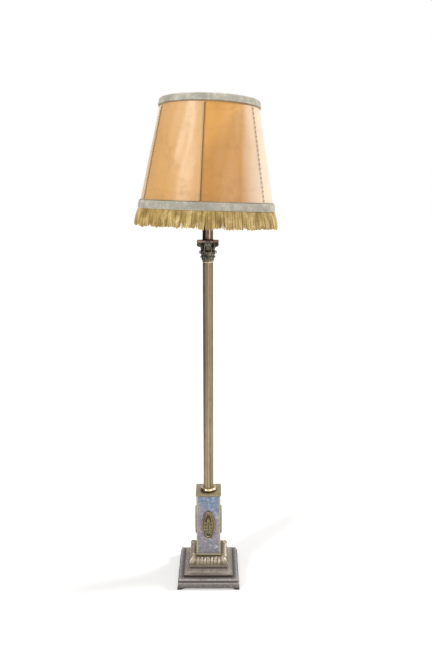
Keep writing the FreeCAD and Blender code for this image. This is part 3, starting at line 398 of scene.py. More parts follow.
STEP_PEWTER = aged_metal("step pewter", (0.040, 0.030, 0.020), (0.235, 0.20, 0.17), (0.58, 0.50, 0.43),
                         rough=0.42, metal=0.55, edge_wear_and_highlight=0.0034, shade_and_dirt_reach=0.030, tint=(0.34, 0.24, 0.185),
                         mottle=0.6, shaded_bands=((0.0370, 0.0430), (0.0565, 0.0640)),
                         lit_bands=((0.0442, 0.0480), (0.0655, 0.0672)))
# Paler gilt on the tongues and a darker ground: gilding, and also painted highlight and painted shade.
LEAF_GROUND_AND_SHADE = aged_metal("leaf moulding ground", (0.060, 0.046, 0.028), (0.26, 0.21, 0.145),
                         (0.56, 0.48, 0.37), edge_wear_and_highlight=0.0014, shade_and_dirt_reach=0.007, tint=(0.17, 0.13, 0.08))
LEAF_GILT_AND_HIGHLIGHT = aged_metal("leaf gilt", (0.090, 0.070, 0.042), (0.41, 0.35, 0.26), (0.88, 0.80, 0.66),
                       edge_wear_and_highlight=0.0022, shade_and_dirt_reach=0.005, tint=(0.40, 0.33, 0.25))
FRAME_SILVER = aged_metal("die frame silver", (0.13, 0.12, 0.08), (0.46, 0.43, 0.35), (0.80, 0.76, 0.62),
                          rough=0.36, tint=(0.50, 0.44, 0.28))
EDGE_GILT = aged_metal("edge gilt", (0.09, 0.066, 0.026), (0.35, 0.295, 0.175), (0.72, 0.62, 0.40),
                       rough=0.34, tint=(0.34, 0.29, 0.17))
OVAL_GROUND = aged_metal("medallion ground", (0.018, 0.014, 0.006), (0.105, 0.085, 0.042),
                         (0.36, 0.30, 0.17), edge_wear_and_highlight=0.0008, shade_and_dirt_reach=0.006, tint=(0.13, 0.10, 0.05))
OVAL_GILT = aged_metal("medallion gilt", (0.045, 0.034, 0.014), (0.30, 0.245, 0.135), (0.88, 0.79, 0.54),
                       edge_wear_and_highlight=0.0014, shade_and_dirt_reach=0.004, tint=(0.32, 0.26, 0.14))
print("castings", len(bpy.data.materials))

# %% [markdown]
# The turned and drawn pieces were made from better metal. The rings of the column are polished
# brass, the neck is a smooth dark bronze, and the fittings inside the shade are brass, wire and
# plated steel, which were never gilded.

# %% Brass, wire and steel
BRIGHT_BRASS = aged_metal("polished brass", (0.20, 0.125, 0.055), (0.74, 0.60, 0.42), (0.93, 0.85, 0.70),
                          rough=0.22, metal=0.9, pits=0.00004, tint=(0.55, 0.40, 0.25))
NECK_BRONZE = aged_metal("neck bronze", (0.018, 0.011, 0.007), (0.22, 0.150, 0.105), (0.52, 0.41, 0.32),
                         rough=0.22, metal=0.92, tint=(0.22, 0.135, 0.11))
HOLDER_BRASS = aged_metal("holder brass", (0.28, 0.19, 0.08), (0.68, 0.52, 0.28), (0.86, 0.74, 0.48),
                          rough=0.28, metal=0.95, tint=(0.60, 0.44, 0.22))
FRAME_WIRE = aged_metal("frame wire", (0.14, 0.10, 0.055), (0.34, 0.27, 0.17), (0.55, 0.48, 0.34), rough=0.4)
PLATE_STEEL = aged_metal("plate steel", (0.16, 0.15, 0.14), (0.34, 0.33, 0.32), (0.55, 0.54, 0.52),
                         rough=0.38, tint=(0.30, 0.27, 0.25))
BALLAST_IRON = aged_metal("ballast iron", (0.02, 0.019, 0.018), (0.055, 0.052, 0.05), (0.14, 0.13, 0.12),
                          rough=0.7, metal=0.4, tint=(0.10, 0.05, 0.03))
BULB_METAL = aged_metal("bulb cap metal", (0.36, 0.35, 0.33), (0.62, 0.61, 0.58), (0.82, 0.81, 0.78),
                        rough=0.3, metal=0.95, tint=(0.5, 0.48, 0.45))
CONTACT_BRASS = aged_metal("contact brass", (0.35, 0.24, 0.10), (0.72, 0.55, 0.28), (0.88, 0.75, 0.48),
                           rough=0.3, metal=0.95, tint=(0.60, 0.44, 0.22))
print("metals", len(bpy.data.materials))

# %% [markdown]
# ## The base
# The base is a stack of square castings with the profiles of a plain classical pedestal: bracket
# feet, a plinth with a deep quirk and a bead, a low riser and a hollow that draws in to the leaf
# moulding. Each profile is one list of widths and heights, eased and carried round the square.

# %% Plinth
FOOT_H, Z_STEP = reach("base_plinth")
PLINTH_W, STEP_W = reach("base_plinth", X)[1], reach("base_step", X)[1]
FASCIA_TOP, FASCIA_LEAN = 24.0, 1.25


def plinth():
    """Fascia, quirk, bead and sloping top, closed under the step."""
    bead = arc(104.3, 33.3, 2.4, -80, 85, 10)
    fascia = eased([(99.8, 30.0), (99.8, FOOT_H + 0.1), (PLINTH_W, FOOT_H),
                    (PLINTH_W - FASCIA_LEAN, FASCIA_TOP), (108.6, FASCIA_TOP + 1.0),
                    (106.6, FASCIA_TOP + 2.8), (106.4, 29.2), (104.6, 30.6)], 0.9)
    form = Form()
    form.square(fascia + bead + eased([(103.0, 36.4), (96.0, 37.0), (STEP_W - 2.0, Z_STEP - 0.4)], 0.8),
                round_edge=1.2)
    return form.piece("plinth_casting", PLINTH_PEWTER, "pewter", replaces=("base_plinth",))


print("plinth faces", len(plinth().data.polygons))

# %% [markdown]
# The step is the hollow moulding between the plinth and the leaves. Its curve is a quarter of an
# ellipse, as wide as the step draws in and as high as it climbs, so it is worked out and not drawn.

# %% Step
CAVETTO_W, RISER_H, FILLET_H = 68.0, 6.0, 3.5
Z_LEAF = reach("base_step")[1]


def step():
    """Riser, hollow and fillet."""
    foot, low, high = STEP_W - 2.6, Z_STEP + RISER_H, Z_LEAF - FILLET_H
    hollow = [(foot - (foot - CAVETTO_W) * math.sin(math.radians(t)),
               high - (high - low) * math.cos(math.radians(t))) for t in range(0, 91, 9)]
    riser = eased([(STEP_W, Z_STEP + 0.4), (STEP_W, low - 1.2), (STEP_W - 1.2, low - 0.2), hollow[0]], 0.7)
    fillet = eased([(CAVETTO_W, high + 0.2), (CAVETTO_W, Z_LEAF - 0.2), (CAVETTO_W - 6.0, Z_LEAF - 0.1)], 0.6)
    form = Form()
    form.square([(STEP_W - 0.1, Z_STEP - 0.2)] + riser + hollow[1:] + fillet, round_edge=1.0)
    return form.piece("step_casting", STEP_PEWTER, "pewter", replaces=("base_step",))


print("step faces", len(step().data.polygons))


# %% [markdown]
# The bracket feet are cast as L-shaped corners with a curled inner edge. Each arm's side outline
# is the curl, and it is given the thickness of the arm; the outer faces stand out a little.

# %% Bracket feet
FOOT_LONG, FOOT_THICK, FOOT_PROUD = 22.0, 11.0, 0.6


def bracket_feet():
    curl = [(FOOT_LONG, FOOT_H), (FOOT_LONG, 5.2)] + arc(FOOT_LONG, -1.6, 6.6, 96, 164.5, 8) + [(14.6, 0.0)]
    form, corner = Form(), Form()
    for flip in (False, True):
        rows = []
        for inset in (0.0, 0.5, FOOT_THICK):
            outer = PLINTH_W + FOOT_PROUD - inset
            row = [(outer - x, -outer, z) for x, z in [(0.0, 0.0), (0.0, FOOT_H)] + curl]
            rows.append([(-y, -x, z) for x, y, z in row] if flip else row)
        corner.grid(rows, wrap=True, capped=True)
    form.around(corner, 4)
    return form.piece("bracket_feet", FEET_BRONZE, "dark_bronze", replaces=("bracket_feet",))


print("feet faces", len(bracket_feet().data.polygons))

# %% [markdown]
# ## The leaf moulding
# A row of upright tongues climbs the round of this casting, and a broad leaf folds over each
# corner. The round is one arc; a tongue is a leaf laid on that arc, wide in the middle, with a
# rounded tip, a raised midrib and a fine gap to its neighbour, as on an egg-and-tongue moulding.
# The tongues are paler gilt on a darker ground: real gilding, and also a painted highlight on the
# tongues with painted shade in the gaps.

# %% Tongues
ROUND_START, ROUND_SWEEP, ROUND_STEPS, ROUND_R = -13.9, 99.5, 12, 19.0
ROUND = arc(48.56, Z_LEAF + 9.56, ROUND_R, ROUND_START, ROUND_START + ROUND_SWEEP, ROUND_STEPS)
TONGUES, TONGUE_PITCH = 7, 12.6
TONGUE_SPREAD = (0.62, 0.86, 0.98, 1.0, 1.0, 0.97, 0.93, 0.88, 0.82, 0.74, 0.62, 0.42, 0.1)


def laid_on_round(x, lift, station):
    """A point on the front of the round, x from its middle and lifted off its surface."""
    w, z = ROUND[station]
    turn = math.radians(ROUND_START + ROUND_SWEEP * station / ROUND_STEPS)
    return (x, -(w + lift * math.cos(turn)), z + lift * math.sin(turn))


def tongue(x, width, proud):
    """A blade in rows up the round: edges sunk, a hollow on each side and a midrib."""
    rows = []
    for station, spread in enumerate(TONGUE_SPREAD):
        half = width / 2 * spread
        rise = proud * min(1.0, 0.35 + station / 4) * (1.25 if station > 8 else 1.0)
        across = [(-1.0, -1.0), (-0.94, 0.75), (-0.72, 1.0), (-0.4, 0.62), (-0.14, 0.66), (0.0, 1.12),
                  (0.14, 0.66), (0.4, 0.62), (0.72, 1.0), (0.94, 0.75), (1.0, -1.0)]
        rows.append([laid_on_round(x + half * a, rise * up, station) for a, up in across])
    return rows


print("round", len(ROUND), "points, tongues", TONGUES)

# %% [markdown]
# The corner leaf follows the same arc, but half of it lies on each side of the mitre, so its rows
# are drawn for one side and mirrored across the corner. The whole moulding is then the round, four
# sides of tongues, the thin darts between them, and the four leaves.


# %% Leaf moulding
def corner_leaf():
    """A broad leaf folded over the mitre, with scalloped edges and a rib on the corner."""
    rows = []
    for station in range(13):
        w, z = ROUND[station]
        turn = math.radians(ROUND_START + ROUND_SWEEP * station / ROUND_STEPS)
        spread = TONGUE_SPREAD[station] * 14.0 * (1.0 + 0.08 * math.sin(station * 2.1))
        rise = 2.6 * min(1.0, 0.4 + station / 4)
        row = []
        for a, up in ((1.0, -0.6), (0.95, 0.5), (0.6, 0.72), (0.3, 0.5), (0.1, 0.8), (0.0, 1.15)):
            out = w + rise * up * math.cos(turn)
            row.append((out - spread * a, -out, z + rise * up * math.sin(turn)))
        rows.append(row + [(-y, -x, z) for x, y, z in row[-2::-1]])
    return rows


def leaf_moulding():
    form, side = Form(), Form()
    foot = eased([(60.0, Z_LEAF + 0.1), (67.9, Z_LEAF + 0.1),
                  (67.9, Z_LEAF + 4.5), (66.4, Z_LEAF + 4.9)], 0.7)
    form.square(foot + ROUND + [(42.0, Z_LEAF + 28.5)], round_edge=0.6)
    for i in range(TONGUES):
        side.grid(tongue((i - (TONGUES - 1) / 2) * TONGUE_PITCH, TONGUE_PITCH - 3.0, 2.3), mark=1)
    for i in range(TONGUES + 1):
        dart = (i - TONGUES / 2) * TONGUE_PITCH
        side.grid([[laid_on_round(dart + x, lift, s) for x, lift in ((-1.1, -0.5), (0.0, 1.3), (1.1, -0.5))]
                   for s in (6, 8, 10, 12)])
    side.grid(corner_leaf(), mark=1)
    form.around(side, 4)
    return form.piece("leaf_moulding", [LEAF_GROUND_AND_SHADE, LEAF_GILT_AND_HIGHLIGHT], "old_gilt", replaces=("leaf_moulding",))


print("leaf moulding faces", len(leaf_moulding().data.polygons))

# %% [markdown]
# ## The die
# The die is a square box with a pale metal frame. A painted panel is let into each side, and a
# gilt oval sits on every panel. The frame is a flat border with a small raised bead on its inner
# edge, so each side is the frame's profile carried round a rectangle.

# %% Die frame
DIE_W, PANEL_HALF = -reach("panel_front", Y)[0], reach("panel_front", X)[1]
PANEL_LOW, PANEL_HIGH = reach("panel_front")
Z_DIE = reach("die_shell")[0]


def mitred(profile):
    """Rows of a picture frame round the front panel: a profile of (inset from its edge, depth out)."""
    rows = []
    for inset, out in profile:
        x, top, bottom = PANEL_HALF - inset, PANEL_HIGH - inset, PANEL_LOW + inset
        y = -(DIE_W + out)
        rows.append([(-x, y, bottom), (x, y, bottom), (x, y, top), (-x, y, top)])
    return rows


def die_frame():
    form, side = Form(), Form()
    border = [(-5.4, -6.0), (-5.4, -0.35), (-5.05, 0.0), (-2.6, 0.0), (-2.2, -0.5), (-1.9, -0.5)]
    bead = [(-1.5, 0.1), (-0.9, 0.45), (-0.3, 0.1), (0.0, -0.6), (0.0, -1.4)]
    side.grid(mitred(border + bead), wrap=True)
    form.around(side, 4)
    return form.piece("die_frame", FRAME_SILVER, "pewter", replaces=("die_shell",))


def die_foot():
    """Gilt fillet at the foot of the die."""
    form = Form()
    form.square(eased([(40.0, Z_DIE + 0.1), (46.0, Z_DIE + 0.1), (46.0, Z_DIE + 2.0), (44.6, Z_DIE + 2.8),
                       (43.6, Z_DIE + 5.0), (43.0, Z_DIE + 5.4)], 0.6))
    return form.piece("die_foot_fillet", EDGE_GILT, "pewter")


print("die frame faces", len(die_frame().data.polygons), "foot faces", len(die_foot().data.polygons))

# %% [markdown]
# The panels are painted in washes on a ground that has gone grey: blue at the top, a lilac cloud
# round the oval and grey below, with specks of gold where the ground shows. The colour follows
# the height, is broken up by clouds of noise, and gets thin lines of craze and rubbed gold.


# %% Painted panels
def panel_paint():
    finish = Finish("painted panel")
    height = finish.axis("Z")
    clouds = finish.noise(26.0, detail=5.0, roughness=0.65, stretch=(1, 1, 0.6))
    fine = finish.noise(120.0, detail=5.0, roughness=0.7)
    blue, lilac = (0.155, 0.245, 0.37), (0.36, 0.27, 0.34)
    grey, rose = (0.235, 0.23, 0.25), (0.56, 0.37, 0.36)
    upper = (height + (clouds - 0.5) * 0.22).ramp(0.235, 0.300)
    colour = finish.mix(upper, lilac, blue)
    lower = 1.0 - (height + (clouds - 0.5) * 0.22).ramp(0.135, 0.190)
    colour = finish.mix(lower, colour, grey)
    colour = finish.mix((fine - clouds * 0.3).ramp(0.38, 0.62) * 0.45, colour, rose)
    deep = finish.noise(44.0, detail=6.0, roughness=0.75).ramp(0.48, 0.66)
    colour = finish.mix(deep * (0.35 + upper * 0.45), colour, (0.080, 0.160, 0.34))
    sky = finish.noise(75.0, detail=5.0, roughness=0.8).ramp(0.53, 0.65)
    colour = finish.mix(sky * 0.8, colour, (0.66, 0.71, 0.75))
    gold = finish.noise(210.0, detail=4.0, roughness=0.8) + (finish.noise(34.0) - 0.5) * 0.5
    gold = gold.ramp(0.60, 0.68)
    colour = finish.mix(gold * 0.8, colour, (0.52, 0.40, 0.19))
    craze = finish.node("TexVoronoi", {"feature": "DISTANCE_TO_EDGE"}, Vector=finish.place, Scale=230.0)
    lines = 1.0 - craze.ramp(0.0, 0.05)
    colour = finish.mix(lines * 0.35, colour, (0.10, 0.09, 0.085))
    # Painted shade in the corners where the panel meets the frame.
    open_air = finish.hollow(0.01).ramp(0.2, 0.9)
    colour = finish.mix(open_air, (0.09, 0.085, 0.08), colour)
    gloss = 0.34 + gold * 0.1 + (fine - 0.5) * 0.25
    return finish.surface(fine * 0.6 - lines * 0.5 + gold * 0.6, 0.00022, Base_Color=colour, Roughness=gloss,
                          Metallic=gold * 0.5 + 0.25)


PANEL_PAINT = panel_paint()
print("nodes in the paint", len(PANEL_PAINT.node_tree.nodes))

# %% [markdown]
# A let-in sheet is never quite flat: each panel swells a little in its middle. The four panels are
# one piece, because they share one paint and never part.


# %% Panels
def painted_panels():
    form, side = Form(), Form()
    across, up = 9, 30
    rows = []
    for j in range(up + 1):
        z = PANEL_LOW + (PANEL_HIGH - PANEL_LOW) * j / up
        row = []
        for i in range(across + 1):
            x = PANEL_HALF * (2 * i / across - 1)
            swell = 0.25 * math.sin(math.pi * i / across) * math.sin(math.pi * j / up)
            row.append((x, -(DIE_W - 1.1 + swell), z))
        rows.append(row)
    side.grid(rows)
    form.around(side, 4)
    names = ["panel_front", "panel_right", "panel_back", "panel_left"]
    return form.piece("painted_panels", PANEL_PAINT, "blue_paint", replaces=names)


print("panel faces", len(painted_panels().data.polygons))

# %% [markdown]
# The oval is a cast plaque. Its rim has two raised rings with a beaded one between them, and the
# middle holds a bud between curled leaves. An oval is a circle stretched by its half sizes, so
# each ring of the profile is a row of such points, and the relief is laid over the same plate.

# %% Oval rows and relief leaves
OVAL_A, OVAL_B, OVAL_POINTS = 24.5, 55.0, 72
Z_OVAL = sum(reach("medallion_front")) / 2


def on_oval(turn, shrink, out):
    """A point on the front: an angle, a distance in from the oval's edge and a depth out of the die."""
    return ((OVAL_A - shrink) * math.sin(turn), -(DIE_W + out), Z_OVAL + (OVAL_B - shrink) * math.cos(turn))


def oval_row(shrink, out):
    return [on_oval(2 * math.pi * i / OVAL_POINTS, shrink, out) for i in range(OVAL_POINTS)]


def petal(x, z, length, width, tilt, rise, curl=0.0, rows=9):
    """A small leaf in relief: pointed, with a raised midrib, tilted on the plaque."""
    lean, made = math.radians(tilt), []
    for j in range(rows + 1):
        t = j / rows
        half = width / 2 * math.sin(math.pi * min(1.0, 0.08 + t * 0.92)) ** 0.7 + 0.05
        bend = curl * t * t
        row = []
        for a, up in ((-1, 0), (-0.8, 0.55), (-0.45, 0.45), (0, 1), (0.45, 0.45), (0.8, 0.55), (1, 0)):
            px, pz = half * a + bend, length * t
            lift = 1.8 + rise * up * math.sin(math.pi * min(1.0, 0.15 + 0.8 * t))
            row.append((x + px * math.cos(lean) + pz * math.sin(lean), -(DIE_W + lift),
                        Z_OVAL + z - px * math.sin(lean) + pz * math.cos(lean)))
        made.append(row)
    return made


print("an oval row has", len(oval_row(0.0, 0.0)), "points")

# %% [markdown]
# The rim is one profile of rings, raised ones gilt and sunk ones dark. Between the raised rings
# runs a string of small round beads, each a short arch that shrinks towards its ends.

# %% Medallions
BEADS, BEAD_IN, BEAD_OUT = 52, 6.2, 2.2
RINGS = [(0.0, -0.4), (0.0, 2.6), (0.5, 3.9), (1.5, 5.1), (2.8, 5.6), (3.9, 4.9), (4.4, 3.2), (5.0, 2.5),
         (7.4, 2.4), (8.0, 3.4), (8.9, 4.6), (10.0, 4.9), (11.0, 4.3), (11.5, 2.8), (12.2, 2.1), (14.0, 2.4),
         (24.0, 3.2)]


def bead_rows(turn):
    """One bead of the rim at an angle of the oval."""
    rows = []
    for k in range(5):
        size = math.cos((k - 2) * 0.72) ** 0.5
        arch = [(BEAD_IN + 1.25 * size * math.cos(s), BEAD_OUT + 1.35 * size * math.sin(s))
                for s in [math.pi * j / 4 for j in range(5)]]
        rows.append([on_oval(turn + (k - 2) * 0.028, shrink, out) for shrink, out in arch])
    return rows


def medallions():
    form, side = Form(), Form()
    for mark, first, last in ((1, 0, 7), (0, 6, 9), (1, 8, 14), (0, 13, len(RINGS))):
        side.grid([oval_row(shrink, out) for shrink, out in RINGS[first:last]], wrap=True, mark=mark)
    side.grid([oval_row(*RINGS[-1]), oval_row(OVAL_A - 0.1, RINGS[-1][1])], wrap=True)
    for i in range(BEADS):
        side.grid(bead_rows(2 * math.pi * i / BEADS), mark=1)
    side.grid(petal(0.0, 0.0, 30.0, 11.0, 0.0, 4.2), mark=1)
    for flip in (-1, 1):
        side.grid(petal(flip * 1.0, -4.0, 22.0, 7.5, flip * 28.0, 3.4, curl=flip * 2.5), mark=1)
        side.grid(petal(flip * 1.0, -8.0, 16.0, 7.0, flip * 62.0, 3.0, curl=flip * 1.5, rows=7), mark=1)
        side.grid(petal(flip * 0.6, -12.0, 18.0, 6.5, flip * 118.0, 2.8, curl=-flip * 2.0, rows=7), mark=1)
        side.grid(petal(flip * 0.8, -14.0, 24.0, 7.0, flip * 160.0, 2.8, curl=-flip * 1.5), mark=1)
    side.grid(petal(0.0, -12.0, 28.0, 7.0, 180.0, 3.2), mark=1)
    form.around(side, 4)
    names = ["medallion_front", "medallion_right", "medallion_back", "medallion_left"]
    return form.piece("medallions", [OVAL_GROUND, OVAL_GILT], "medallion_gilt", replaces=names)


print("medallion faces", len(medallions().data.polygons))

# %% [markdown]
# ## Column and rings
# The cap plate closes the die. On it stands the column, a drawn tube with ten rounded reeds; its
# foot is hidden by a thick polished ring and its top by a thinner one. The lacquer is worn off
# the crowns of the reeds and the grooves are darker, so the finish works out where on a reed a
# point lies, from its angle about the axis. Towards the top the column is painted darker, as the
# lampshade's shadow.

# %% Column's finish
COLUMN_R, REED_DEPTH, REEDS, REED_START = 18.5, 1.3, 10, -13.0
REED_TURN = 360.0 / REEDS


def column_finish():
    """Lacquered brass: darker in the grooves, each reed lighter or darker, painted lampshade shadow up top.
    """
    finish = Finish("column brass")
    turn = finish.maths("ARCTAN2", finish.axis("Y"), finish.axis("X")) * (REEDS / (2 * math.pi))
    part = finish.maths("FRACT", turn - math.radians(REED_START - 90.0) * REEDS / (2 * math.pi) + 20.0)
    middle = 1.0 - finish.maths("ABSOLUTE", part - 0.5) * 2.0
    crown = middle.ramp(0.02, 0.34)
    reed = finish.maths("FRACT", finish.maths("SINE", finish.maths("FLOOR", turn + 20.3) * 12.9) * 43.7)
    streak = finish.noise(170.0, detail=5.0, roughness=0.7, stretch=(1, 1, 0.05))
    mottle = finish.noise(95.0, detail=5.0, roughness=0.7, stretch=(1, 1, 0.4))
    body = finish.mix((mottle * 0.7 + reed * 0.35).ramp(0.25, 0.75), (0.235, 0.175, 0.095),
                      (0.46, 0.37, 0.235))
    body = finish.mix(streak.ramp(0.50, 0.72) * 0.45, body, (0.60, 0.475, 0.375))
    body = finish.mix(mottle.ramp(0.56, 0.70) * 0.35, body, (0.20, 0.165, 0.09))
    # Painted shadow of the lampshade: the column is darker towards its top.
    shadow_of_lampshade = finish.axis("Z").ramp(0.55, 0.85)
    body = finish.mix(shadow_of_lampshade * 0.55, body, (0.150, 0.112, 0.060))
    colour = finish.mix(crown, (0.140, 0.100, 0.052), body)
    gloss = 0.36 + (mottle - 0.5) * 0.25 + (1.0 - crown) * 0.2
    return finish.surface(streak * 0.6 + mottle * 0.5, 0.00012, Base_Color=colour, Roughness=gloss,
                          Metallic=0.65)


COLUMN_BRASS = column_finish()
print("nodes in the column's finish", len(COLUMN_BRASS.node_tree.nodes))

# %% [markdown]
# A reed's cross-section is a shallow arc, so the tube is one ring of points that is repeated up
# the column. The power under the sine makes each reed full and each groove narrow.

# %% Column
Z_COLUMN, Z_ASTRAGAL = reach("column_tube")
REED_POINTS, COLUMN_ROWS = 14, 24


def column():
    """Ten reeds round, many points to a reed, in a few long rows."""
    section = []
    for reed in range(REEDS):
        for step in range(REED_POINTS):
            t = step / REED_POINTS
            r = COLUMN_R - REED_DEPTH * (1.0 - math.sin(math.pi * t) ** 0.55)
            turn = math.radians(REED_START - 90.0 + REED_TURN * (reed + t))
            section.append((r * math.cos(turn), r * math.sin(turn)))
    heights = [Z_COLUMN + (Z_ASTRAGAL - Z_COLUMN) * i / COLUMN_ROWS for i in range(COLUMN_ROWS + 1)]
    form = Form()
    form.grid([[(x, y, z) for x, y in section] for z in heights], wrap=True)
    return form.piece("reeded_column", COLUMN_BRASS, "antique_brass", replaces=("column_tube",),
                      crease=math.radians(60))


print("column faces", len(column().data.polygons))

# %% [markdown]
# The plate and the two rings close the joints of the stack. The rings are turned and polished: a
# full half round at the column's foot, and a smaller one with a fillet under the capital.

# %% Cap plate and rings
Z_CAP = reach("die_shell")[1]


def cap_plate():
    form = Form()
    form.square(eased([(43.0, Z_CAP + 0.1), (46.3, Z_CAP + 0.1), (46.5, Z_CAP + 1.2), (46.5, Z_CAP + 3.2),
                       (45.2, Z_COLUMN - 0.1), (30.0, Z_COLUMN), (18.0, Z_COLUMN)], 0.7), round_edge=0.9)
    return form.piece("cap_plate", EDGE_GILT, "old_gilt", replaces=("cap_plate",))


def collar_ring():
    form = Form()
    form.spin([(18.7, Z_COLUMN + 0.2)] + arc(22.6, Z_COLUMN + 6.4, 6.35, -95, 100, 20) +
              [(18.7, Z_COLUMN + 11.5)])
    return form.piece("collar_ring", BRIGHT_BRASS, "bright_brass", replaces=("collar_ring",))


def astragal():
    form = Form()
    form.spin([(17.0, Z_ASTRAGAL + 0.1), (18.6, Z_ASTRAGAL + 0.15)] +
              arc(18.0, Z_ASTRAGAL + 2.6, 2.0, -60, 88, 10) +
              [(18.2, Z_ASTRAGAL + 4.8), (17.9, Z_ASTRAGAL + 5.3)] +
              arc(17.9, Z_ASTRAGAL + 6.1, 0.85, -60, 90, 6) + [(16.0, Z_ASTRAGAL + 7.0)])
    return form.piece("astragal_ring", BRIGHT_BRASS, "bright_brass", replaces=("astragal_ring",))


print("plate and rings", [piece.name for piece in (cap_plate(), collar_ring(), astragal())])

# %% [markdown]
# ## The capital
# The capital is a small Corinthian one. Two rows of eight leaves climb a bell and roll their tips
# out and down, a scroll springs to each corner, two small scrolls meet on each face, and a
# hollow-sided slab with a flower on each side closes it. A leaf follows a side line of radius and
# height; across it, the edge is lobed and the face is fluted beside a midrib. All of the capital
# is drawn with its foot at height 0, and one matrix sets it on the column.

# %% Leaves of the capital
LEAVES, LEAF_BACK = 8, 1.3
ON_COLUMN = Matrix.Translation((0.0, 0.0, reach("capital")[0]))


def leaf_line(root, foot, height, tip):
    """Side line of a leaf: up the bell, over a small roll and down at the tip."""
    roll = 0.10 * height + 0.9
    top = foot + height - roll
    bottom = Vector((root + 0.3, foot))
    knee = Vector((tip - 2.0 * roll, top))
    climb = []
    for i in range(11):
        t = i / 11
        belly = Vector((root + 0.9, foot + 0.55 * height))
        climb.append(tuple(bottom * (1 - t) ** 2 + belly * 2 * t * (1 - t) + knee * t * t))
    return climb + arc(tip - roll, top, roll, 180, -62, 11)


def acanthus(root, foot, height, tip, width, lobes=3.5):
    """One leaf, in closed rows: the fluted front and a plain back."""
    line = leaf_line(root, foot, height, tip)
    across = [i / 9 for i in range(-9, 10)]
    form, rows = Form(), []
    for j, (r, z) in enumerate(line):
        before, after = Vector(line[max(0, j - 1)]), Vector(line[min(len(line) - 1, j + 1)])
        way = (after - before).normalized()
        out = Vector((way.y, -way.x))
        t = j / (len(line) - 1)
        lobe = 1.0 + 0.13 * math.sin(2 * math.pi * lobes * t)
        half = width / 2 * lobe * (0.74 + 0.42 * math.sin(math.pi * min(t * 1.15, 1.0)))
        half *= 1.0 if t < 0.86 else 1.9 - t
        front, back = [], []
        for u in across:
            flute = 0.34 * math.cos(3.5 * math.pi * u) * (1.0 - 0.5 * abs(u))
            rib = 0.75 * math.exp(-(u / 0.10) ** 2)
            vein = 0.16 * math.sin(2 * math.pi * lobes * 2 * (t - 0.22 * abs(u)))
            droop = -0.9 * u * u * (0.4 + t)
            lift = 0.55 + flute + rib + vein + droop
            x = half * u
            for side, layer in ((lift, front), (lift - LEAF_BACK, back)):
                radius = r + out.x * side
                layer.append((x, -math.sqrt(max(radius * radius - 0.8 * x * x, 1.0)), z + out.y * side))
        rows.append(front + back[::-1])
    form.grid(rows, wrap=True, capped=True)
    return form


print("rows of a leaf", len(leaf_line(19.0, 0.2, 15.6, 24.4)))

# %% [markdown]
# A scroll is a ribbon with raised edges that follows a path in an upright plane. The corner
# scrolls stand in the planes of the diagonals; the small ones lie against the faces of the bell.
# Both paths are a stalk that runs into a spiral.

# %% Ribbons and spirals
def spiral(x, z, radius, last, turns, steps=34):
    """A spiral from its top inwards, from a first radius to a last one."""
    points = []
    for i in range(steps + 1):
        t = i / steps
        turn = math.radians(90.0 - 360.0 * turns * t)
        r = radius + (last - radius) * t ** 0.85
        points.append((x + r * math.cos(turn), z + r * math.sin(turn)))
    return points


def ribbon(path, width, thick, place):
    """A ribbon with raised edges along a path; place turns (along, up, sideways) into a point."""
    rows = []
    for j, (a, z) in enumerate(path):
        before, after = Vector(path[max(0, j - 1)]), Vector(path[min(len(path) - 1, j + 1)])
        way = (after - before).normalized()
        out = Vector((-way.y, way.x))
        taper = 1.0 - 0.35 * j / len(path)
        half, t = width / 2 * taper, thick * taper
        section = [(-half, -t / 2), (-half, t / 2), (-0.66 * half, t / 2), (-0.5 * half, 0.15 * t),
                   (0.5 * half, 0.15 * t), (0.66 * half, t / 2), (half, t / 2), (half, -t / 2)]
        rows.append([place(a + out.x * up, z + out.y * up, side) for side, up in section])
    return rows


print("points of a spiral", len(spiral(0.0, 0.0, 7.1, 1.1, 1.7)))

# %% [markdown]
# A corner scroll is a stalk and its spiral, with an eye through the middle, a thin web behind the
# turns, and a small leaf under the stalk. A face scroll is the same ribbon laid on the bell, so
# the bell's outline comes first, with a function that gives its radius at a height.

# %% Scrolls of the capital
BELL = [(19.0, 0.0), (19.2, 9.0), (19.7, 21.0), (20.8, 33.0), (22.8, 45.0), (26.0, 56.0), (28.6, 61.0),
        (29.2, 62.2), (28.8, 63.2)]


def bell_radius(z):
    """Radius of the bell at a height."""
    for (r0, z0), (r1, z1) in zip(BELL, BELL[1:]):
        if z <= z1:
            return r0 + (r1 - r0) * (z - z0) / (z1 - z0)
    return BELL[-1][0]


def disc(x, z, radius, points, sides):
    """Rows of a round plate in the plane of a corner scroll, one row for each place across it."""
    turns = [2 * math.pi * i / points for i in range(points)]
    return [[(side, -(x + radius * math.cos(t)), z + radius * math.sin(t)) for t in turns] for side in sides]


def upright(along, height, side):
    """A point of a corner scroll's ribbon."""
    return (side, -along, height)


def corner_scroll():
    x, z = 43.2, 55.3
    stalk = [(19.6, 25.0), (20.6, 32.0), (22.6, 40.0), (25.8, 47.5), (30.2, 54.5), (35.4, 59.8), (39.6, 62.0)]
    leaf = [(21.0, 28.0), (23.6, 36.0), (27.6, 44.0), (31.8, 49.0), (36.0, 50.6), (38.4, 49.2), (38.2, 47.4)]
    form = Form()
    for rows in (ribbon(stalk + spiral(x, z, 7.1, 1.1, 1.7), 6.4, 1.7, upright),
                 disc(x, z, 1.9, 12, (-3.1, -2.6, 2.6, 3.1)), disc(x, z, 6.4, 24, (-1.3, 1.3)),
                 ribbon(leaf, 9.0, 1.3, upright)):
        form.grid(rows, wrap=True, capped=True)
    return form


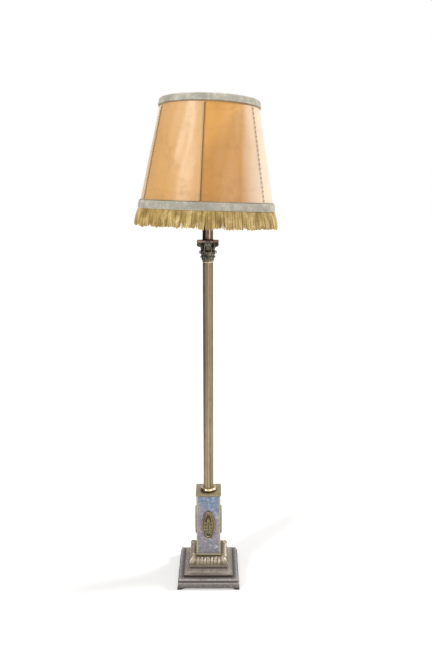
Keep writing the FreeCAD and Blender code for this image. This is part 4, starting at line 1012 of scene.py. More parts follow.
def face_scrolls():
    """Two small scrolls on one face of the bell, under the flower."""
    form, eye = Form(), 5.2
    for flip in (-1, 1):
        path = [(12.0, 28.0), (12.2, 36.0), (11.4, 44.0), (9.6, 51.0), (7.4, 56.6)]
        path += [(2 * eye - x, z) for x, z in spiral(eye, 55.0, 3.9, 0.8, 1.4, steps=24)]

        def on_bell(along, height, side, flip=flip):
            return (flip * along, -(bell_radius(height) + 1.4 + side * 0.5), height)
        form.grid(ribbon(path, 5.0, 2.1, on_bell), wrap=True, capped=True)
    return form


print("bell at mid height", round(bell_radius(31.6), 2), "mm")

# %% [markdown]
# The slab is a square whose sides are hollowed to a curve and whose corners are cut blunt, drawn
# in moulded layers. A flower with five petals round a boss stands in the middle of each hollow.

# %% Slab and flowers
ABACUS_W = reach("capital", X)[1]


def slab_row(outset, z):
    """Hollow-sided square with blunt corners."""
    w = ABACUS_W + outset
    side = []
    for i in range(13):
        t = -1 + i / 6
        side.append((w - 6.5 * (1 - t * t), (w - 5.0) * t))
    row = []
    for quarter in range(4):
        c, s = math.cos(quarter * math.pi / 2), math.sin(quarter * math.pi / 2)
        row += [(x * c - y * s, x * s + y * c, z) for x, y in side]
    return row


def flower():
    """Five petals round a boss, standing on the hollow side of the slab."""
    form, rows = Form(), []
    for k in range(7):
        t = k / 6
        row = []
        for i in range(40):
            turn = 2 * math.pi * i / 40
            size = (0.6 + 0.4 * abs(math.cos(2.5 * turn)) ** 0.7) * 4.7
            lift = 1.1 + 1.5 * math.sin(math.pi * min(1.0, t * 0.9 + 0.1)) + (1.6 if t < 0.2 else 0.0)
            row.append((size * t * math.sin(turn), -(31.6 + lift), 65.2 + size * t * math.cos(turn)))
        rows.append(row)
    form.grid(rows, wrap=True)
    return form


print("points of the slab's edge", len(slab_row(0.0, 0.0)))

# %% [markdown]
# The capital is one casting: the leaves, the scrolls and the flowers are repeated round the bell,
# the lower leaves between the upper ones. The slab has its own piece, because it is rubbed browner.


# %% Capital and abacus
def capital():
    form = Form()
    form.spin(BELL, around=64)
    form.around(acanthus(19.0, 0.2, 15.6, 24.4, 14.2), LEAVES, 180.0 / LEAVES)
    form.around(acanthus(19.6, 0.6, 31.6, 30.4, 14.6, lobes=4.5), LEAVES)
    form.around(corner_scroll(), 4, 45.0)
    form.around(face_scrolls(), 4)
    form.around(flower(), 4)
    return form.piece("capital_casting", CAPITAL_BRONZE, "dark_bronze", replaces=("capital",),
                      where=ON_COLUMN)


def abacus():
    form = Form()
    layers = [(-8.0, 62.9), (-3.0, 62.9), (-2.6, 64.0), (-1.6, 64.9), (-0.6, 65.5), (-0.5, 66.2),
              (-0.05, 66.5), (0.0, 68.2), (-0.5, 68.9), (-12.0, 69.0)]
    form.grid([slab_row(out, z) for out, z in layers], wrap=True, capped=True)
    return form.piece("abacus_slab", ABACUS_BRONZE, "dark_bronze", where=ON_COLUMN, crease=math.radians(30))


print("capital faces", len(capital().data.polygons), "abacus faces", len(abacus().data.polygons))

# %% [markdown]
# ## Neck and lampholder
# A plain dark tube carries the lampholder up into the shade. These are turned pieces, and each
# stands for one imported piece, so one function spins a profile whose heights are measured from
# that piece's own foot.

# %% Neck
NECK_R, NECK_H = reach("neck_tube", X)[1], reach("neck_tube")[1] - reach("neck_tube")[0]


def turned(node, foot, profile, finish, slot, name=None, body="stand"):
    """Spin a profile of (radius, height over the foot) into the piece that stands for an imported one."""
    form = Form()
    form.spin([(r, foot + z) for r, z in profile], around=72)
    return form.piece(name or node, finish, slot, body=body, replaces=(node,))


turned("neck_tube", reach("neck_tube")[0],
       eased([(17.6, 0.1), (NECK_R, 0.1), (NECK_R, 60.0), (NECK_R, 120.0), (NECK_R, NECK_H - 0.1),
              (17.6, NECK_H - 0.1)], 0.5), NECK_BRONZE, "dark_bronze")
turned("neck_cap", reach("neck_tube")[1],
       eased([(17.0, 0.05), (NECK_R, 0.05), (NECK_R, 3.0), (NECK_R - 2.2, 4.95), (5.6, 4.98)], 0.8),
       NECK_BRONZE, "dark_bronze")
print("neck", NECK_H, "mm long")

# %% [markdown]
# The lampholder is a dome that screws on the tie rod and a barrel with a flange. The shade's ring
# rests on the flange, and a knurled ring nut holds it down from above.

# %% Lampholder
HOLDER_R, DOME_H = reach("holder_cap", X)[1], reach("holder_cap")[1] - reach("holder_cap")[0]
dome = (eased([(5.6, 0.0), (8.0, 0.0), (8.0, 7.6)], 0.5) + arc(8.2, 20.6, 11.2, -80, 0, 9)[1:] +
        eased([(HOLDER_R, DOME_H - 2.4), (HOLDER_R, DOME_H - 0.1), (18.4, DOME_H - 0.1),
               (18.4, DOME_H - 4.0)], 0.3))
turned("holder_cap", reach("holder_cap")[0], dome, HOLDER_BRASS, "holder_brass")
barrel = eased([(18.3, 47.0), (18.3, 0.1), (HOLDER_R, 0.1), (HOLDER_R, 18.6), (20.2, 19.5), (25.0, 19.7),
                (25.0, 21.9), (19.6, 21.9), (HOLDER_R, 47.2), (19.1, 48.0), (18.3, 48.0)], 0.35)
turned("holder_shell", reach("holder_shell")[0], barrel, HOLDER_BRASS, "holder_brass")
knurl = [(24.6 + 0.35 * math.sin(i * math.pi / 2), 0.4 + i * 0.35) for i in range(15)]
turned("shade_ring_nut", reach("shade_ring_nut")[0],
       [(19.9, 0.1), (24.2, 0.1)] + knurl + [(24.0, 5.9), (19.9, 5.9)],
       HOLDER_BRASS, "holder_brass")
print("holder profiles", len(dome), len(barrel), len(knurl))

# %% [markdown]
# The bulb is an opal one: milky glass that lets a little light through under a smooth gloss. Its
# cap carries the rolled thread that the brass cup takes.


# %% Bulb
def bulb_frost():
    finish = Finish("frosted glass")
    smear = finish.noise(30.0)
    return finish.surface(smear, 0.0001, Base_Color=(0.90, 0.90, 0.87), Roughness=0.25 + smear * 0.2,
                          Transmission_Weight=0.25, IOR=1.45)


thread = [(12.55 + 0.4 * math.sin(i * math.pi / 3), 5.6 + i * 0.6) for i in range(31)]
turned("bulb_cap", reach("bulb_cap")[0],
       [(0.05, 0.05), (4.0, 0.1), (4.8, 0.8), (5.6, 1.8), (11.4, 4.6)] + thread +
       [(12.9, 25.2), (12.0, 25.8)], BULB_METAL, "bulb_metal")
turned("bulb_glass", reach("bulb_glass")[0],
       [(11.8, 0.5), (11.8, 7.0), (13.6, 14.0), (17.4, 22.0), (21.6, 30.0), (25.0, 38.0)] +
       arc(0.0, 57.0, 29.9, -26, 89.9, 18), bulb_frost(), "bulb_glass")

# %% [markdown]
# ## The shade
# The shade leans a little, so it is drawn upright about its own axis with its hem at height 0,
# and one matrix leans it and sets it over the column. Its outer face is a cone; each piece sits at
# a depth inside that cone, so one function gives a point from the angle, the height and the depth.

# %% Cone of the shade
SHADE_H, SHADE_TOP_R, SHADE_HEM_R = 347.3, 159.3, 227.0
PANELS, SEAM_START = 6, -94.5
PANEL_TURN = 360.0 / PANELS
SHADE_FOOT, SHADE_LEAN = Vector((-4.0, 0.0, 1352.7)), 1.86
SHADE = Matrix.Translation(SHADE_FOOT) @ Matrix.Rotation(math.radians(SHADE_LEAN), 4, "Y")
SLOPE = (SHADE_HEM_R - SHADE_TOP_R) / SHADE_H
SECANT = math.hypot(1.0, SLOPE)


def on_shade(turn, height, out=0.0, side=0.0):
    """A point at an angle (degrees), a height and a distance out of the cone, shifted sideways."""
    radius = SHADE_HEM_R - SLOPE * height + out * SECANT
    a = math.radians(turn) + side / radius
    return Vector((radius * math.cos(a), radius * math.sin(a), height))


print("the shade's side slopes", round(math.degrees(math.atan(SLOPE)), 1), "degrees")

# %% [markdown]
# The parchment is a scraped and varnished skin. It is amber where the skin was thick, pale where
# it was thin, clouded everywhere, and has painted shade in the corners beside the lacing. Faint
# veins and rings lie in it. A painted shadow darkens one side of the front panel, and the side
# towards the right window is painted paler, as that window's light.


# %% Parchment's finish
def parchment_finish(name, pale, amber, brown, browning, shadow_wedge_strength=0.0):
    finish = Finish(name)
    cloud = finish.noise(7.0, detail=5.0, roughness=0.6, stretch=(1, 1, 0.55))
    stain = finish.noise(17.0, detail=6.0, roughness=0.72)
    fibre = finish.noise(240.0, detail=4.0, roughness=0.7, stretch=(1, 1, 0.35))
    height = finish.axis("Z")
    low = 1.0 - height.ramp(1.36, 1.64)
    # Painted light of the right window: the skin is paler on the right of the lampshade.
    painted_window_light = (finish.axis("X") + (cloud - 0.5) * 0.02).ramp(0.105, 0.180)
    # Painted shadow: a wedge that darkens the front panel below and right of a slanting line.
    painted_shadow_wedge = (finish.axis("X") - (height - 1.551) * 0.735 + (stain - 0.5) * 0.015).ramp(-0.004, 0.040)
    warmth = (cloud * 1.2 - 0.25 + low * browning).ramp(0.0, 0.9)
    colour = finish.mix(warmth, pale, amber)
    colour = finish.mix((stain + low * browning * 0.35).ramp(0.56, 0.82) * 0.55, colour, brown)
    vein = finish.node("TexVoronoi", {"feature": "DISTANCE_TO_EDGE"}, Vector=finish.place, Scale=34.0)
    vein_line = (1.0 - vein.ramp(0.0, 0.05)) * stain.ramp(0.45, 0.7)
    colour = finish.mix(vein_line * 0.09, colour, brown)
    colour = finish.mix(painted_shadow_wedge * shadow_wedge_strength, colour, brown)
    colour = finish.mix(painted_window_light * 0.8, colour, (0.90, 0.77, 0.60))
    ring = finish.node("TexWave", {"wave_type": "RINGS"}, Vector=finish.place, Scale=5.5, Distortion=7.0,
                       Detail=3.0)
    colour = finish.mix((1.0 - ring.ramp(0.0, 0.16)) * 0.05, colour, brown)
    speck = finish.noise(520.0, detail=2.0).ramp(0.66, 0.74)
    colour = finish.mix(speck * 0.35, colour, brown)
    # Painted shade beside the lacing and under the braids, where little light reaches.
    open_air = finish.hollow(0.006).ramp(0.1, 0.8)
    colour = finish.mix(open_air, brown, colour)
    gloss = 0.40 + (stain - 0.5) * 0.30 + fibre * 0.10
    relief = fibre * 0.5 + stain * 1.4 + vein_line * 0.3
    return finish.surface(relief, 0.00035, Base_Color=colour, Roughness=gloss,
                          Coat_Weight=0.30 + (cloud - 0.5) * 0.3, Coat_Roughness=0.34,
                          Subsurface_Weight=0.08, Subsurface_Radius=(0.02, 0.01, 0.004))


# The honey skin is deeper than the others, partly as skin tone and partly as painted shade on the front
# panel.
SKIN_PALE, SKIN_AMBER, SKIN_BROWN = (0.76, 0.475, 0.215), (0.66, 0.34, 0.095), (0.40, 0.19, 0.046)
SKINS = [parchment_finish("parchment honey", (0.78, 0.40, 0.098), (0.64, 0.29, 0.050), (0.35, 0.155, 0.030),
                          0.35, 0.38),
         parchment_finish("parchment pale", (0.88, 0.70, 0.50), SKIN_AMBER, SKIN_BROWN, 0.12),
         parchment_finish("parchment clear", SKIN_PALE, SKIN_AMBER, SKIN_BROWN, 0.2)]
print("skins", [skin.name for skin in SKINS])

# %% [markdown]
# Each panel is a sixth of the cone, with a small gap at the seams. The skin has two faces and a
# thickness, and it cockles between the wires that hold it.

# %% Parchment panels
PARCHMENT_OUT, PARCHMENT_T, SEAM_GAP = -1.55, 0.8, 0.5
SKIN_COLUMNS, SKIN_ROWS = 44, 40


def cockle(turn, height):
    """How far the skin stands out of true: it cockles as it dries, and is held flat at its edges."""
    across = ((turn - SEAM_START) % PANEL_TURN) / PANEL_TURN
    hold = math.sin(math.pi * across) * math.sin(math.pi * min(1.0, height / SHADE_H))
    wave = math.sin(turn * 0.21 + height * 0.013) + 0.6 * math.sin(turn * 0.47 - height * 0.031 + 1.7)
    roll = 0.9 * math.exp(-(min(across, 1 - across) / 0.012) ** 2)
    return hold * wave * 0.9 + roll


def parchment(index):
    gap = math.degrees(SEAM_GAP / SHADE_HEM_R)
    first = SEAM_START + gap / 2 + PANEL_TURN * index
    turns = [first + (PANEL_TURN - gap) * i / SKIN_COLUMNS for i in range(SKIN_COLUMNS + 1)]
    rows = []
    for j in range(SKIN_ROWS + 1):
        height = 0.3 + (SHADE_H - 1.4) * j / SKIN_ROWS
        outer = [on_shade(t, height, PARCHMENT_OUT + cockle(t, height)) for t in turns]
        inner = [on_shade(t, height, PARCHMENT_OUT - PARCHMENT_T + cockle(t, height)) for t in turns]
        rows.append(outer + inner[::-1])
    form = Form()
    form.grid(rows, wrap=True, capped=True)
    piece = form.piece("parchment_panel_%d" % (index + 1), SKINS[index % 3], "parchment", "shade",
                       ("parchment_%d" % (index + 1),), where=SHADE)
    return piece


print("parchment", [parchment(index).name for index in range(PANELS)])

# %% [markdown]
# Thread, cord and wire are all round stock that follows a path of points. All of it belongs to
# the shade, so it is placed by the shade's matrix, and each kind is one piece.


# %% Round stock
def stock(name, paths, radius, finish, replaces=(), loop=False, sides=1):
    """Lengths of round stock along paths of points on the shade, as one piece."""
    curve = bpy.data.curves.new(name, "CURVE")
    curve.dimensions, curve.bevel_depth, curve.bevel_resolution = "3D", radius * MM, sides
    curve.use_fill_caps = True
    for path in paths:
        spline = curve.splines.new("POLY")
        spline.points.add(len(path) - 1)
        spline.points.foreach_set("co", [c for p in path for c in (*(SHADE @ Vector(p) * MM), 1.0)])
        spline.use_cyclic_u = loop
    return settle(bpy.data.objects.new(name, curve), finish, "shade", replaces)


print("the shade stands at", tuple(SHADE_FOOT), "and leans", SHADE_LEAN, "degrees")

# %% [markdown]
# The panels are laced edge to edge over the frame's struts. A cord runs up each seam and a dark
# waxed thread whips over it from hole to hole. The front seam is stitched closely, the left one
# less so, and the others at about twice the front one's pitch, as in the photograph.


# %% Lacing
def thread_finish(name, dark, light):
    finish = Finish(name)
    ply = finish.noise(700.0, detail=3.0)
    age = finish.noise(60.0, detail=3.0)
    colour = finish.mix((ply * 0.6 + age * 0.5).ramp(0.35, 0.75), dark, light)
    return finish.surface(ply, 0.0002, Base_Color=colour, Roughness=0.55 + ply * 0.3)


WAXED_THREAD = thread_finish("waxed thread", (0.030, 0.011, 0.003), (0.13, 0.052, 0.016))
SEAM_CORD = thread_finish("seam cord", (0.22, 0.105, 0.032), (0.46, 0.25, 0.09))
LACE_LOW, LACE_HIGH = 27.0, 322.0
STITCH_PITCH = (6.2, 14.0, 14.0, 14.0, 14.0, 9.0)


BRIDGE = [(-1.0, -2.2), (-1.0, -1.2), (-0.8, 0.1), (-0.35, 1.0), (0.0, 1.25), (0.35, 1.0), (0.8, 0.1),
          (1.0, -1.2), (1.0, -2.2)]


def stitches(seam):
    """Whipped stitches over one seam, each a short slanting bridge from hole to hole."""
    turn, pitch = SEAM_START + PANEL_TURN * seam, STITCH_PITCH[seam]
    paths, count = [], int((LACE_HIGH - LACE_LOW) / pitch)
    for i in range(count):
        height = LACE_LOW + pitch * (i + 0.5) + random.uniform(-0.4, 0.4)
        half = (1.9 if seam == 0 else 2.4) + random.uniform(-0.3, 0.3)
        paths.append([on_shade(turn, height + a * 1.3, out, a * half) for a, out in BRIDGE])
    return paths


def seam_lines(out, shift=0.0, wave=0.0):
    """A line along every seam, at a depth and a shift sideways, that may wave a little."""
    low, rise = LACE_LOW - 4.0, LACE_HIGH - LACE_LOW + 8.0
    return [[on_shade(SEAM_START + PANEL_TURN * seam, low + rise * i / 60, out,
                      shift + wave * math.sin(i * 1.3))
             for i in range(61)] for seam in range(PANELS)]


threads = [path for seam in range(PANELS) for path in stitches(seam)]
stock("seam_stitches", threads, 0.95, WAXED_THREAD)
stock("seam_cords", seam_lines(-0.9, wave=0.25), 0.6, SEAM_CORD)
stock("seam_edge_lines", seam_lines(-1.3, -4.4) + seam_lines(-1.3, 4.4), 0.3, SEAM_CORD)
print("stitches", len(threads))

# %% [markdown]
# ## The frame
# Two rings and six struts of brassed wire carry the panels. They are round wire, so they replace
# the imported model's flat-sided ones along the same centre lines. The flat ring in the middle is
# the one that sits on the lampholder.

# %% Wire frame
RING_R, STRUT_R, RING_INSET = 2.0, 1.5, 4.0
WIRE_OUT = -(1.55 + PARCHMENT_T + RING_R * 2 / math.sqrt(3) + 0.05)
LOW_RING, HIGH_RING = RING_INSET, SHADE_H - RING_INSET

for node, height in (("bottom_ring", LOW_RING), ("top_ring", HIGH_RING)):
    path = [on_shade(i * 2.0, height, WIRE_OUT) for i in range(180)]
    stock(node + "_wire", [path], RING_R, FRAME_WIRE, (node,), loop=True, sides=3)
struts = [[on_shade(SEAM_START + PANEL_TURN * k, height, WIRE_OUT)
           for height in (LOW_RING + 2.0, HIGH_RING - 2.0)]
          for k in range(PANELS)]
stock("strut_wires", struts, STRUT_R, FRAME_WIRE, ("shade_struts",), sides=3)
turned("fitter_ring", reach("fitter_ring")[0],
       eased([(19.65, 0.05), (30.9, 0.05), (30.9, 1.9), (19.65, 1.9)], 0.4) + [(19.65, 0.05)],
       FRAME_WIRE, "frame_wire", name="fitter_ring_plate", body="shade")
print("wires", 2 + len(struts))

# %% [markdown]
# ## Braids
# Both braids are flat plaits of silk-covered cord. In a flat plait every strand follows the same
# zigzag, one step behind its neighbour, and goes over and under at each crossing. With an odd
# number of strands the crossings fall evenly, so the depth is a cosine that runs as many times as
# there are strands, and it changes sign where a strand turns back at an edge.


# %% Silks
def silk_finish(name, dark, middle, light):
    finish = Finish(name)
    ply = finish.noise(520.0, detail=3.0, roughness=0.65)
    age = finish.noise(24.0, detail=4.0)
    colour = finish.mix((ply * 0.7 + age * 0.5 - 0.1).ramp(0.28, 0.72), dark, middle)
    colour = finish.mix((ply * 0.6 + age * 0.6).ramp(0.62, 0.86), colour, light)
    # Painted shade where the strands cross and meet.
    open_air = finish.hollow(0.003).ramp(0.05, 0.55)
    colour = finish.mix(open_air, dark, colour)
    gloss = 0.46 + (ply - 0.5) * 0.35
    return finish.surface(ply, 0.00025, Base_Color=colour, Roughness=gloss)


GREY_SILK = silk_finish("grey green silk", (0.24, 0.225, 0.18), (0.79, 0.755, 0.64), (0.96, 0.94, 0.85))
PALE_SILK = silk_finish("pale silk", (0.34, 0.33, 0.27), (0.76, 0.75, 0.66), (0.92, 0.92, 0.85))
DARK_SILK = silk_finish("dark edging silk", (0.16, 0.12, 0.06), (0.52, 0.43, 0.27), (0.72, 0.62, 0.42))
print("silks", [silk.name for silk in (GREY_SILK, PALE_SILK, DARK_SILK)])

# %% [markdown]
# A braid is a woven tape with the plait on it, and a thin twisted cord along an edge. The plait
# and the cords are closed paths round the shade, so they meet themselves without a join.

# %% Plaits, cords and tapes
STRANDS, STRAND_R, WEAVE_DEPTH, TAPE_OUT = 7, 1.55, 1.0, -0.9
PLAIT_OUT = TAPE_OUT + STRAND_R + WEAVE_DEPTH
CROSSING_POINTS = 3


def plait(low, high, repeats):
    """Closed paths of the strands of a plait that goes round the shade between two heights."""
    paths = []
    steps = 2 * repeats * STRANDS * CROSSING_POINTS
    for strand in range(STRANDS):
        path = []
        for i in range(steps):
            part = i / steps
            phase = (2 * repeats * part + 2.0 * strand / STRANDS) % 2.0
            rise = 0.5 - 0.5 * math.cos(math.pi * phase)
            rise = 0.55 * rise + 0.45 * (phase if phase < 1 else 2 - phase)
            turn_back = max(-1.0, min(1.0, 2.6 * math.sin(math.pi * phase)))
            depth = -WEAVE_DEPTH * math.cos(STRANDS * math.pi * phase) * turn_back
            path.append(on_shade(360.0 * part, low + (high - low) * rise, PLAIT_OUT + depth))
        paths.append(path)
    return paths


def rope(height, radius, out, pitch):
    """Closed paths of the two plies of a cord that is twisted round the shade at one height."""
    repeats = int(2 * math.pi * (SHADE_HEM_R - SLOPE * height) / pitch)
    steps = repeats * 8
    paths = []
    for ply in (0, 1):
        twists = [2 * math.pi * (repeats * i / steps + ply / 2) for i in range(steps)]
        paths.append([on_shade(360.0 * i / steps, height + radius * math.cos(twist),
                               out + radius * math.sin(twist))
                      for i, twist in enumerate(twists)])
    return paths


def tape(name, section, node):
    """The woven tape under a plait: a thin closed band."""
    form = Form()
    form.grid([[on_shade(3.0 * i, h, out) for i in range(120)] for h, out in section], wrap=True, close=True)
    piece = form.piece(name, GREY_SILK, "grey_braid", "shade", (node,), where=SHADE)


print("strands in a plait", len(plait(0.0, 20.0, 34)))

# %% [markdown]
# The top braid folds over the rim, and the hem's braid lies flat above the fringe. Dark edging
# cords finish the sides of the braids that lie on the parchment, and pale ones the outer sides.

# %% Braids
TOP_BRAID, HEM_BRAID = SHADE_H - 24.0, 26.5
tape("top_tape", [(TOP_BRAID, -1.4), (TOP_BRAID, TAPE_OUT), (SHADE_H - 0.4, TAPE_OUT), (SHADE_H, -1.5),
                  (SHADE_H, -2.1), (SHADE_H - 0.5, -2.1), (SHADE_H - 0.6, -1.4)], "top_braid")
tape("hem_tape", [(0.0, -1.4), (0.0, TAPE_OUT), (HEM_BRAID, TAPE_OUT), (HEM_BRAID, -1.4)], "bottom_braid")
stock("top_plait", plait(TOP_BRAID + 3.0, SHADE_H - 2.6, 34), STRAND_R, GREY_SILK, loop=True)
stock("hem_plait", plait(3.4, HEM_BRAID - 3.4, 46), STRAND_R, GREY_SILK, loop=True)
stock("hem_lower_cord", rope(1.4, 1.0, 1.0, 9.0), 1.15, PALE_SILK, loop=True)
stock("top_rim_cord", rope(SHADE_H - 2.2, 0.9, 0.2, 9.0), 1.05, PALE_SILK, loop=True)
stock("dark_edge_cords", rope(TOP_BRAID + 1.0, 0.7, 0.6, 8.0) + rope(HEM_BRAID - 0.8, 0.7, 0.6, 8.0), 0.8,
      DARK_SILK, loop=True)
print("braids", round(SHADE_H - TOP_BRAID, 1), "and", HEM_BRAID, "mm wide")

# %% [markdown]
# ## Bullion fringe
# Bullion is a cord that is twisted back on itself, so each hanging piece is two plies wound round
# each other with a rounded loop at the end. They hang from the hem and splay outwards. Years of
# handling have pulled them into uneven bunches with dark gaps between, and no two are quite the
# same length, so each one gets its own seeded length, lean and tone.


# %% Bullion's finish
def bullion_finish(name, dark, middle, light):
    finish = Finish(name)
    ply = finish.noise(420.0, detail=3.0, roughness=0.7)
    patch = finish.noise(48.0, detail=4.0, stretch=(1, 1, 0.5))
    colour = finish.mix((ply * 0.5 + patch * 0.8 - 0.15).ramp(0.25, 0.68), dark, middle)
    colour = finish.mix((ply * 0.5 + patch * 0.7).ramp(0.62, 0.86), colour, light)
    # Painted shade in the gaps between the cords.
    open_air = finish.hollow(0.006).ramp(0.10, 0.70)
    colour = finish.mix(open_air, dark, colour)
    gloss = 0.36 + (ply - 0.5) * 0.35
    return finish.surface(ply, 0.0003, Base_Color=colour, Roughness=gloss)


BULLION = [bullion_finish("bullion straw", (0.23, 0.135, 0.018), (0.88, 0.625, 0.21), (0.99, 0.90, 0.56)),
           bullion_finish("bullion amber", (0.12, 0.066, 0.008), (0.63, 0.40, 0.092), (0.90, 0.71, 0.32))]
print("bullion", [silk.name for silk in BULLION])

# %% [markdown]
# The fringe has two layers, and the inner one is darker, a little shorter and has fewer cords, so
# that it shows as shadow through the gaps of the outer one.

# %% Fringe
FRINGE_H, FRINGE_FLARE, PLY_R, FRINGE_COUNT = 60.0, 14.5, 1.15, 520
CORD_LONG, PLY_PITCH, CORD_STEPS = 57.5, 8.2, 40


def fringe_lean(turn):
    """How far sideways the strands near one angle lean, so that they hang in bunches."""
    t = math.radians(turn)
    return 2.6 * math.sin(37 * t) + 2.0 * math.sin(61 * t + 1.1) + 1.2 * math.sin(113 * t + 0.4)


def hanging(turn, depth, long, lean):
    """The two plies of one piece of bullion."""
    first_twist, plies = random.uniform(0, 6.28), [[], []]
    for i in range(CORD_STEPS + 1):
        t = i / CORD_STEPS
        down = long * t
        flare = FRINGE_FLARE * (1.8 * down / FRINGE_H - 0.8 * (down / FRINGE_H) ** 2)
        close = PLY_R * 0.95 * min(1.0, (1.02 - t) * 14.0)
        for k in (0, 1):
            twist = first_twist + 2 * math.pi * down / PLY_PITCH + math.pi * k
            radius = SHADE_HEM_R - depth + flare + close * math.sin(twist)
            a = math.radians(turn) + (lean * t ** 1.5 + close * math.cos(twist)) / radius
            plies[k].append((radius * math.cos(a), radius * math.sin(a), 1.5 - down))
    return plies


bunches = [[], []]
for layer, count, depth in ((0, FRINGE_COUNT, 2.2), (1, FRINGE_COUNT - 60, 5.4)):
    for i in range(count):
        turn = 360.0 * (i + random.uniform(-0.28, 0.28)) / count
        long = CORD_LONG + random.uniform(-4.5, 1.5) + 1.5 * math.sin(math.radians(turn) * 19)
        long -= 3.0 if layer else 0.0
        lean = fringe_lean(turn) + random.uniform(-0.9, 0.9)
        tone = 1 if random.random() < (0.25 if layer == 0 else 0.7) else 0
        bunches[tone] += hanging(turn, depth + random.uniform(-0.8, 0.8), long, lean)
stock("fringe_straw", bunches[0], PLY_R, BULLION[0], ("fringe",))
stock("fringe_amber", bunches[1], PLY_R, BULLION[1])
print("bullion plies", len(bunches[0]) + len(bunches[1]))

# %% [markdown]
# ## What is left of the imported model
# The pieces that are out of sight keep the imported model's solids and only get their finishes:
# steel, iron, rubber, ceramic and glass.


# %% Finishes of the hidden pieces
def plain_finish(name, colour, worn, rough, **constants):
    finish = Finish(name)
    cloud = finish.noise(25.0, detail=4.0)
    fine = finish.noise(300.0, detail=3.0)
    shade = finish.mix((cloud * 0.7 + fine * 0.3).ramp(0.3, 0.75), colour, worn)
    return finish.surface(fine, 0.0001, Base_Color=shade, Roughness=rough + (fine - 0.5) * 0.2, **constants)


CERAMIC = plain_finish("glazed ceramic", (0.78, 0.75, 0.68), (0.66, 0.61, 0.52), 0.25)
RUBBER = plain_finish("bush rubber", (0.022, 0.021, 0.02), (0.06, 0.056, 0.052), 0.62)
ROTOR_PLASTIC = plain_finish("rotor plastic", (0.035, 0.025, 0.02), (0.08, 0.06, 0.045), 0.42)
STEM_GLASS = plain_finish("stem glass", (0.86, 0.88, 0.86), (0.78, 0.80, 0.78), 0.12, Transmission_Weight=0.8)
print("plain finishes", [made.name for made in (CERAMIC, RUBBER, ROTOR_PLASTIC, STEM_GLASS)])

# %% [markdown]
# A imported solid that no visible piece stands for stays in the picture, so it only has its material
# changed. The table says which finish each of these solids wears.

# %% Kept solids
KEPT = {
    "ballast_weight": BALLAST_IRON, "bottom_plate": PLATE_STEEL, "bottom_screws": PLATE_STEEL,
    "tie_rod": PLATE_STEEL, "rod_nuts": PLATE_STEEL, "cord_bush": RUBBER, "holder_insulator": CERAMIC,
    "holder_screw_shell": CONTACT_BRASS, "centre_contact": CONTACT_BRASS, "switch_key": HOLDER_BRASS,
    "switch_rotor": ROTOR_PLASTIC, "bulb_stem": STEM_GLASS, "spider_arms": FRAME_WIRE,
}
for node, finish in KEPT.items():
    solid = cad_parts[node]
    solid.data.materials.clear()
    solid.data.materials.append(finish)
print("kept solids", len(KEPT))

# %% [markdown]
# ## Floor and light
# The lamp stands on white paper in a bright room. The paper glows a little to the camera alone,
# so that it stays white where the light is weak and still takes the lamp's shadow. Two cards
# beside the lamp are seen by shiny things alone: a black one draws a dark line down the metals'
# left side, and a bright one gives them their highlight.


# %% Paper and cards
def flat_sheet(name, corners, finish):
    """A flat sheet with four corners that belongs to the room and not to the lamp."""
    data = bpy.data.meshes.new(name)
    data.from_pydata(corners, [], [(0, 1, 2, 3)])
    sheet = bpy.data.objects.new(name, data)
    sheet.data.materials.append(finish)
    bpy.context.scene.collection.objects.link(sheet)
    return sheet


FAR, PAPER_LEVEL, PAPER_GLOW = 30.0, -0.0002, 0.18


def paper_finish():
    finish = Finish("white paper")
    fibre = finish.noise(60.0, detail=3.0)
    seen = finish.node("LightPath", out="Is Camera Ray") * PAPER_GLOW
    return finish.surface(fibre, 0.00005, Base_Color=(0.97, 0.97, 0.97), Roughness=0.85 + fibre * 0.1,
                          Specular_IOR_Level=0.0, Emission_Color=finish.mix(seen, (0, 0, 0), (1, 1, 1)),
                          Emission_Strength=1.0)


def card(name, corners, colour, glow):
    """A flat card beside the lamp that only shiny things see."""
    finish = Finish(name).surface(Base_Color=colour, Roughness=0.9, Emission_Color=(1.0, 0.96, 0.92),
                                  Emission_Strength=glow)
    made = flat_sheet(name, corners, finish)
    made.visible_camera = made.visible_diffuse = made.visible_shadow = made.visible_transmission = False


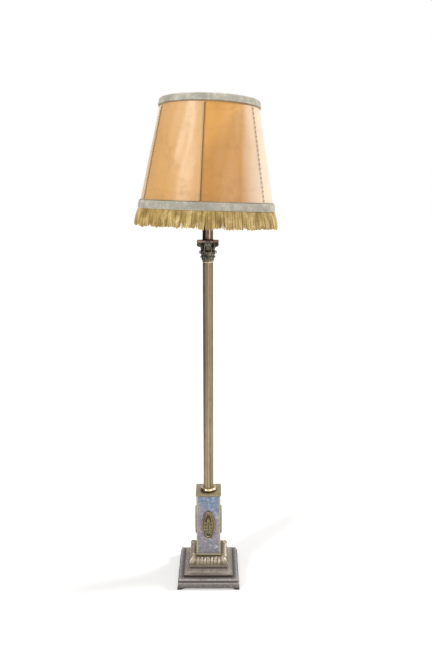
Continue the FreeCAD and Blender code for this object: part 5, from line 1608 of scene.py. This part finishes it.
flat_sheet("paper", [(-FAR, -FAR, PAPER_LEVEL), (FAR, -FAR, PAPER_LEVEL), (FAR, FAR, PAPER_LEVEL),
                     (-FAR, FAR, PAPER_LEVEL)], paper_finish())
card("black card", [(-1.0, -0.9, 0.0), (-1.0, 0.9, 0.0), (-1.0, 0.9, 2.2), (-1.0, -0.9, 2.2)],
     (0.01, 0.01, 0.01), 0.0)
card("bright card", [(0.90, -1.75, 0.1), (1.30, -1.15, 0.1), (1.30, -1.15, 2.2), (0.90, -1.75, 2.2)],
     (0.9, 0.9, 0.9), 4.2)
print("paper", 2 * FAR, "m across, with two cards")

# %% [markdown]
# A window to the front left throws the soft shadow to the right, and a stronger, warmer window on
# the right burns out the shade's right panel. A broad, weak light stands for the bright ceiling.


# %% Windows
def sun(name, toward, strength, spread, colour):
    """A light from a far place, given by its direction, its strength and its width in degrees."""
    data = bpy.data.lights.new(name, "SUN")
    data.energy, data.angle, data.color = strength, math.radians(spread), colour
    lamp = bpy.data.objects.new(name, data)
    lamp.rotation_euler = Vector(toward).to_track_quat("Z", "Y").to_euler()
    bpy.context.scene.collection.objects.link(lamp)


sun("left window", (-0.58, -0.64, 0.50), 1.55, 10.0, (1.0, 0.99, 0.97))
sun("right window", (0.84, 0.20, 0.50), 1.9, 16.0, (1.0, 0.97, 0.93))
sun("roof light", (0.0, -0.15, 1.0), 0.85, 70.0, (1.0, 1.0, 1.0))

# %% [markdown]
# The room is white to the camera and to anything that reflects it or is looked through. As a
# source of light it is dimmer, so the metals and the parchment keep their tone.

# %% White room
FILL = 0.26


def white_room():
    world = bpy.data.worlds.new("white room")
    bpy.context.scene.world = world
    room = Finish("white room", world)
    rays = [room.node("LightPath", out="Is %s Ray" % kind) for kind in ("Camera", "Glossy", "Transmission")]
    strength = (rays[0] + rays[1] + rays[2]).ramp(0.0, 1.0) * (1.0 - FILL) + FILL
    room.node("OutputWorld", None, room.node("Background", None, (1.0, 1.0, 1.0), strength))
    return world


bpy.context.scene.view_settings.view_transform = "Standard"
print("world", white_room().name)
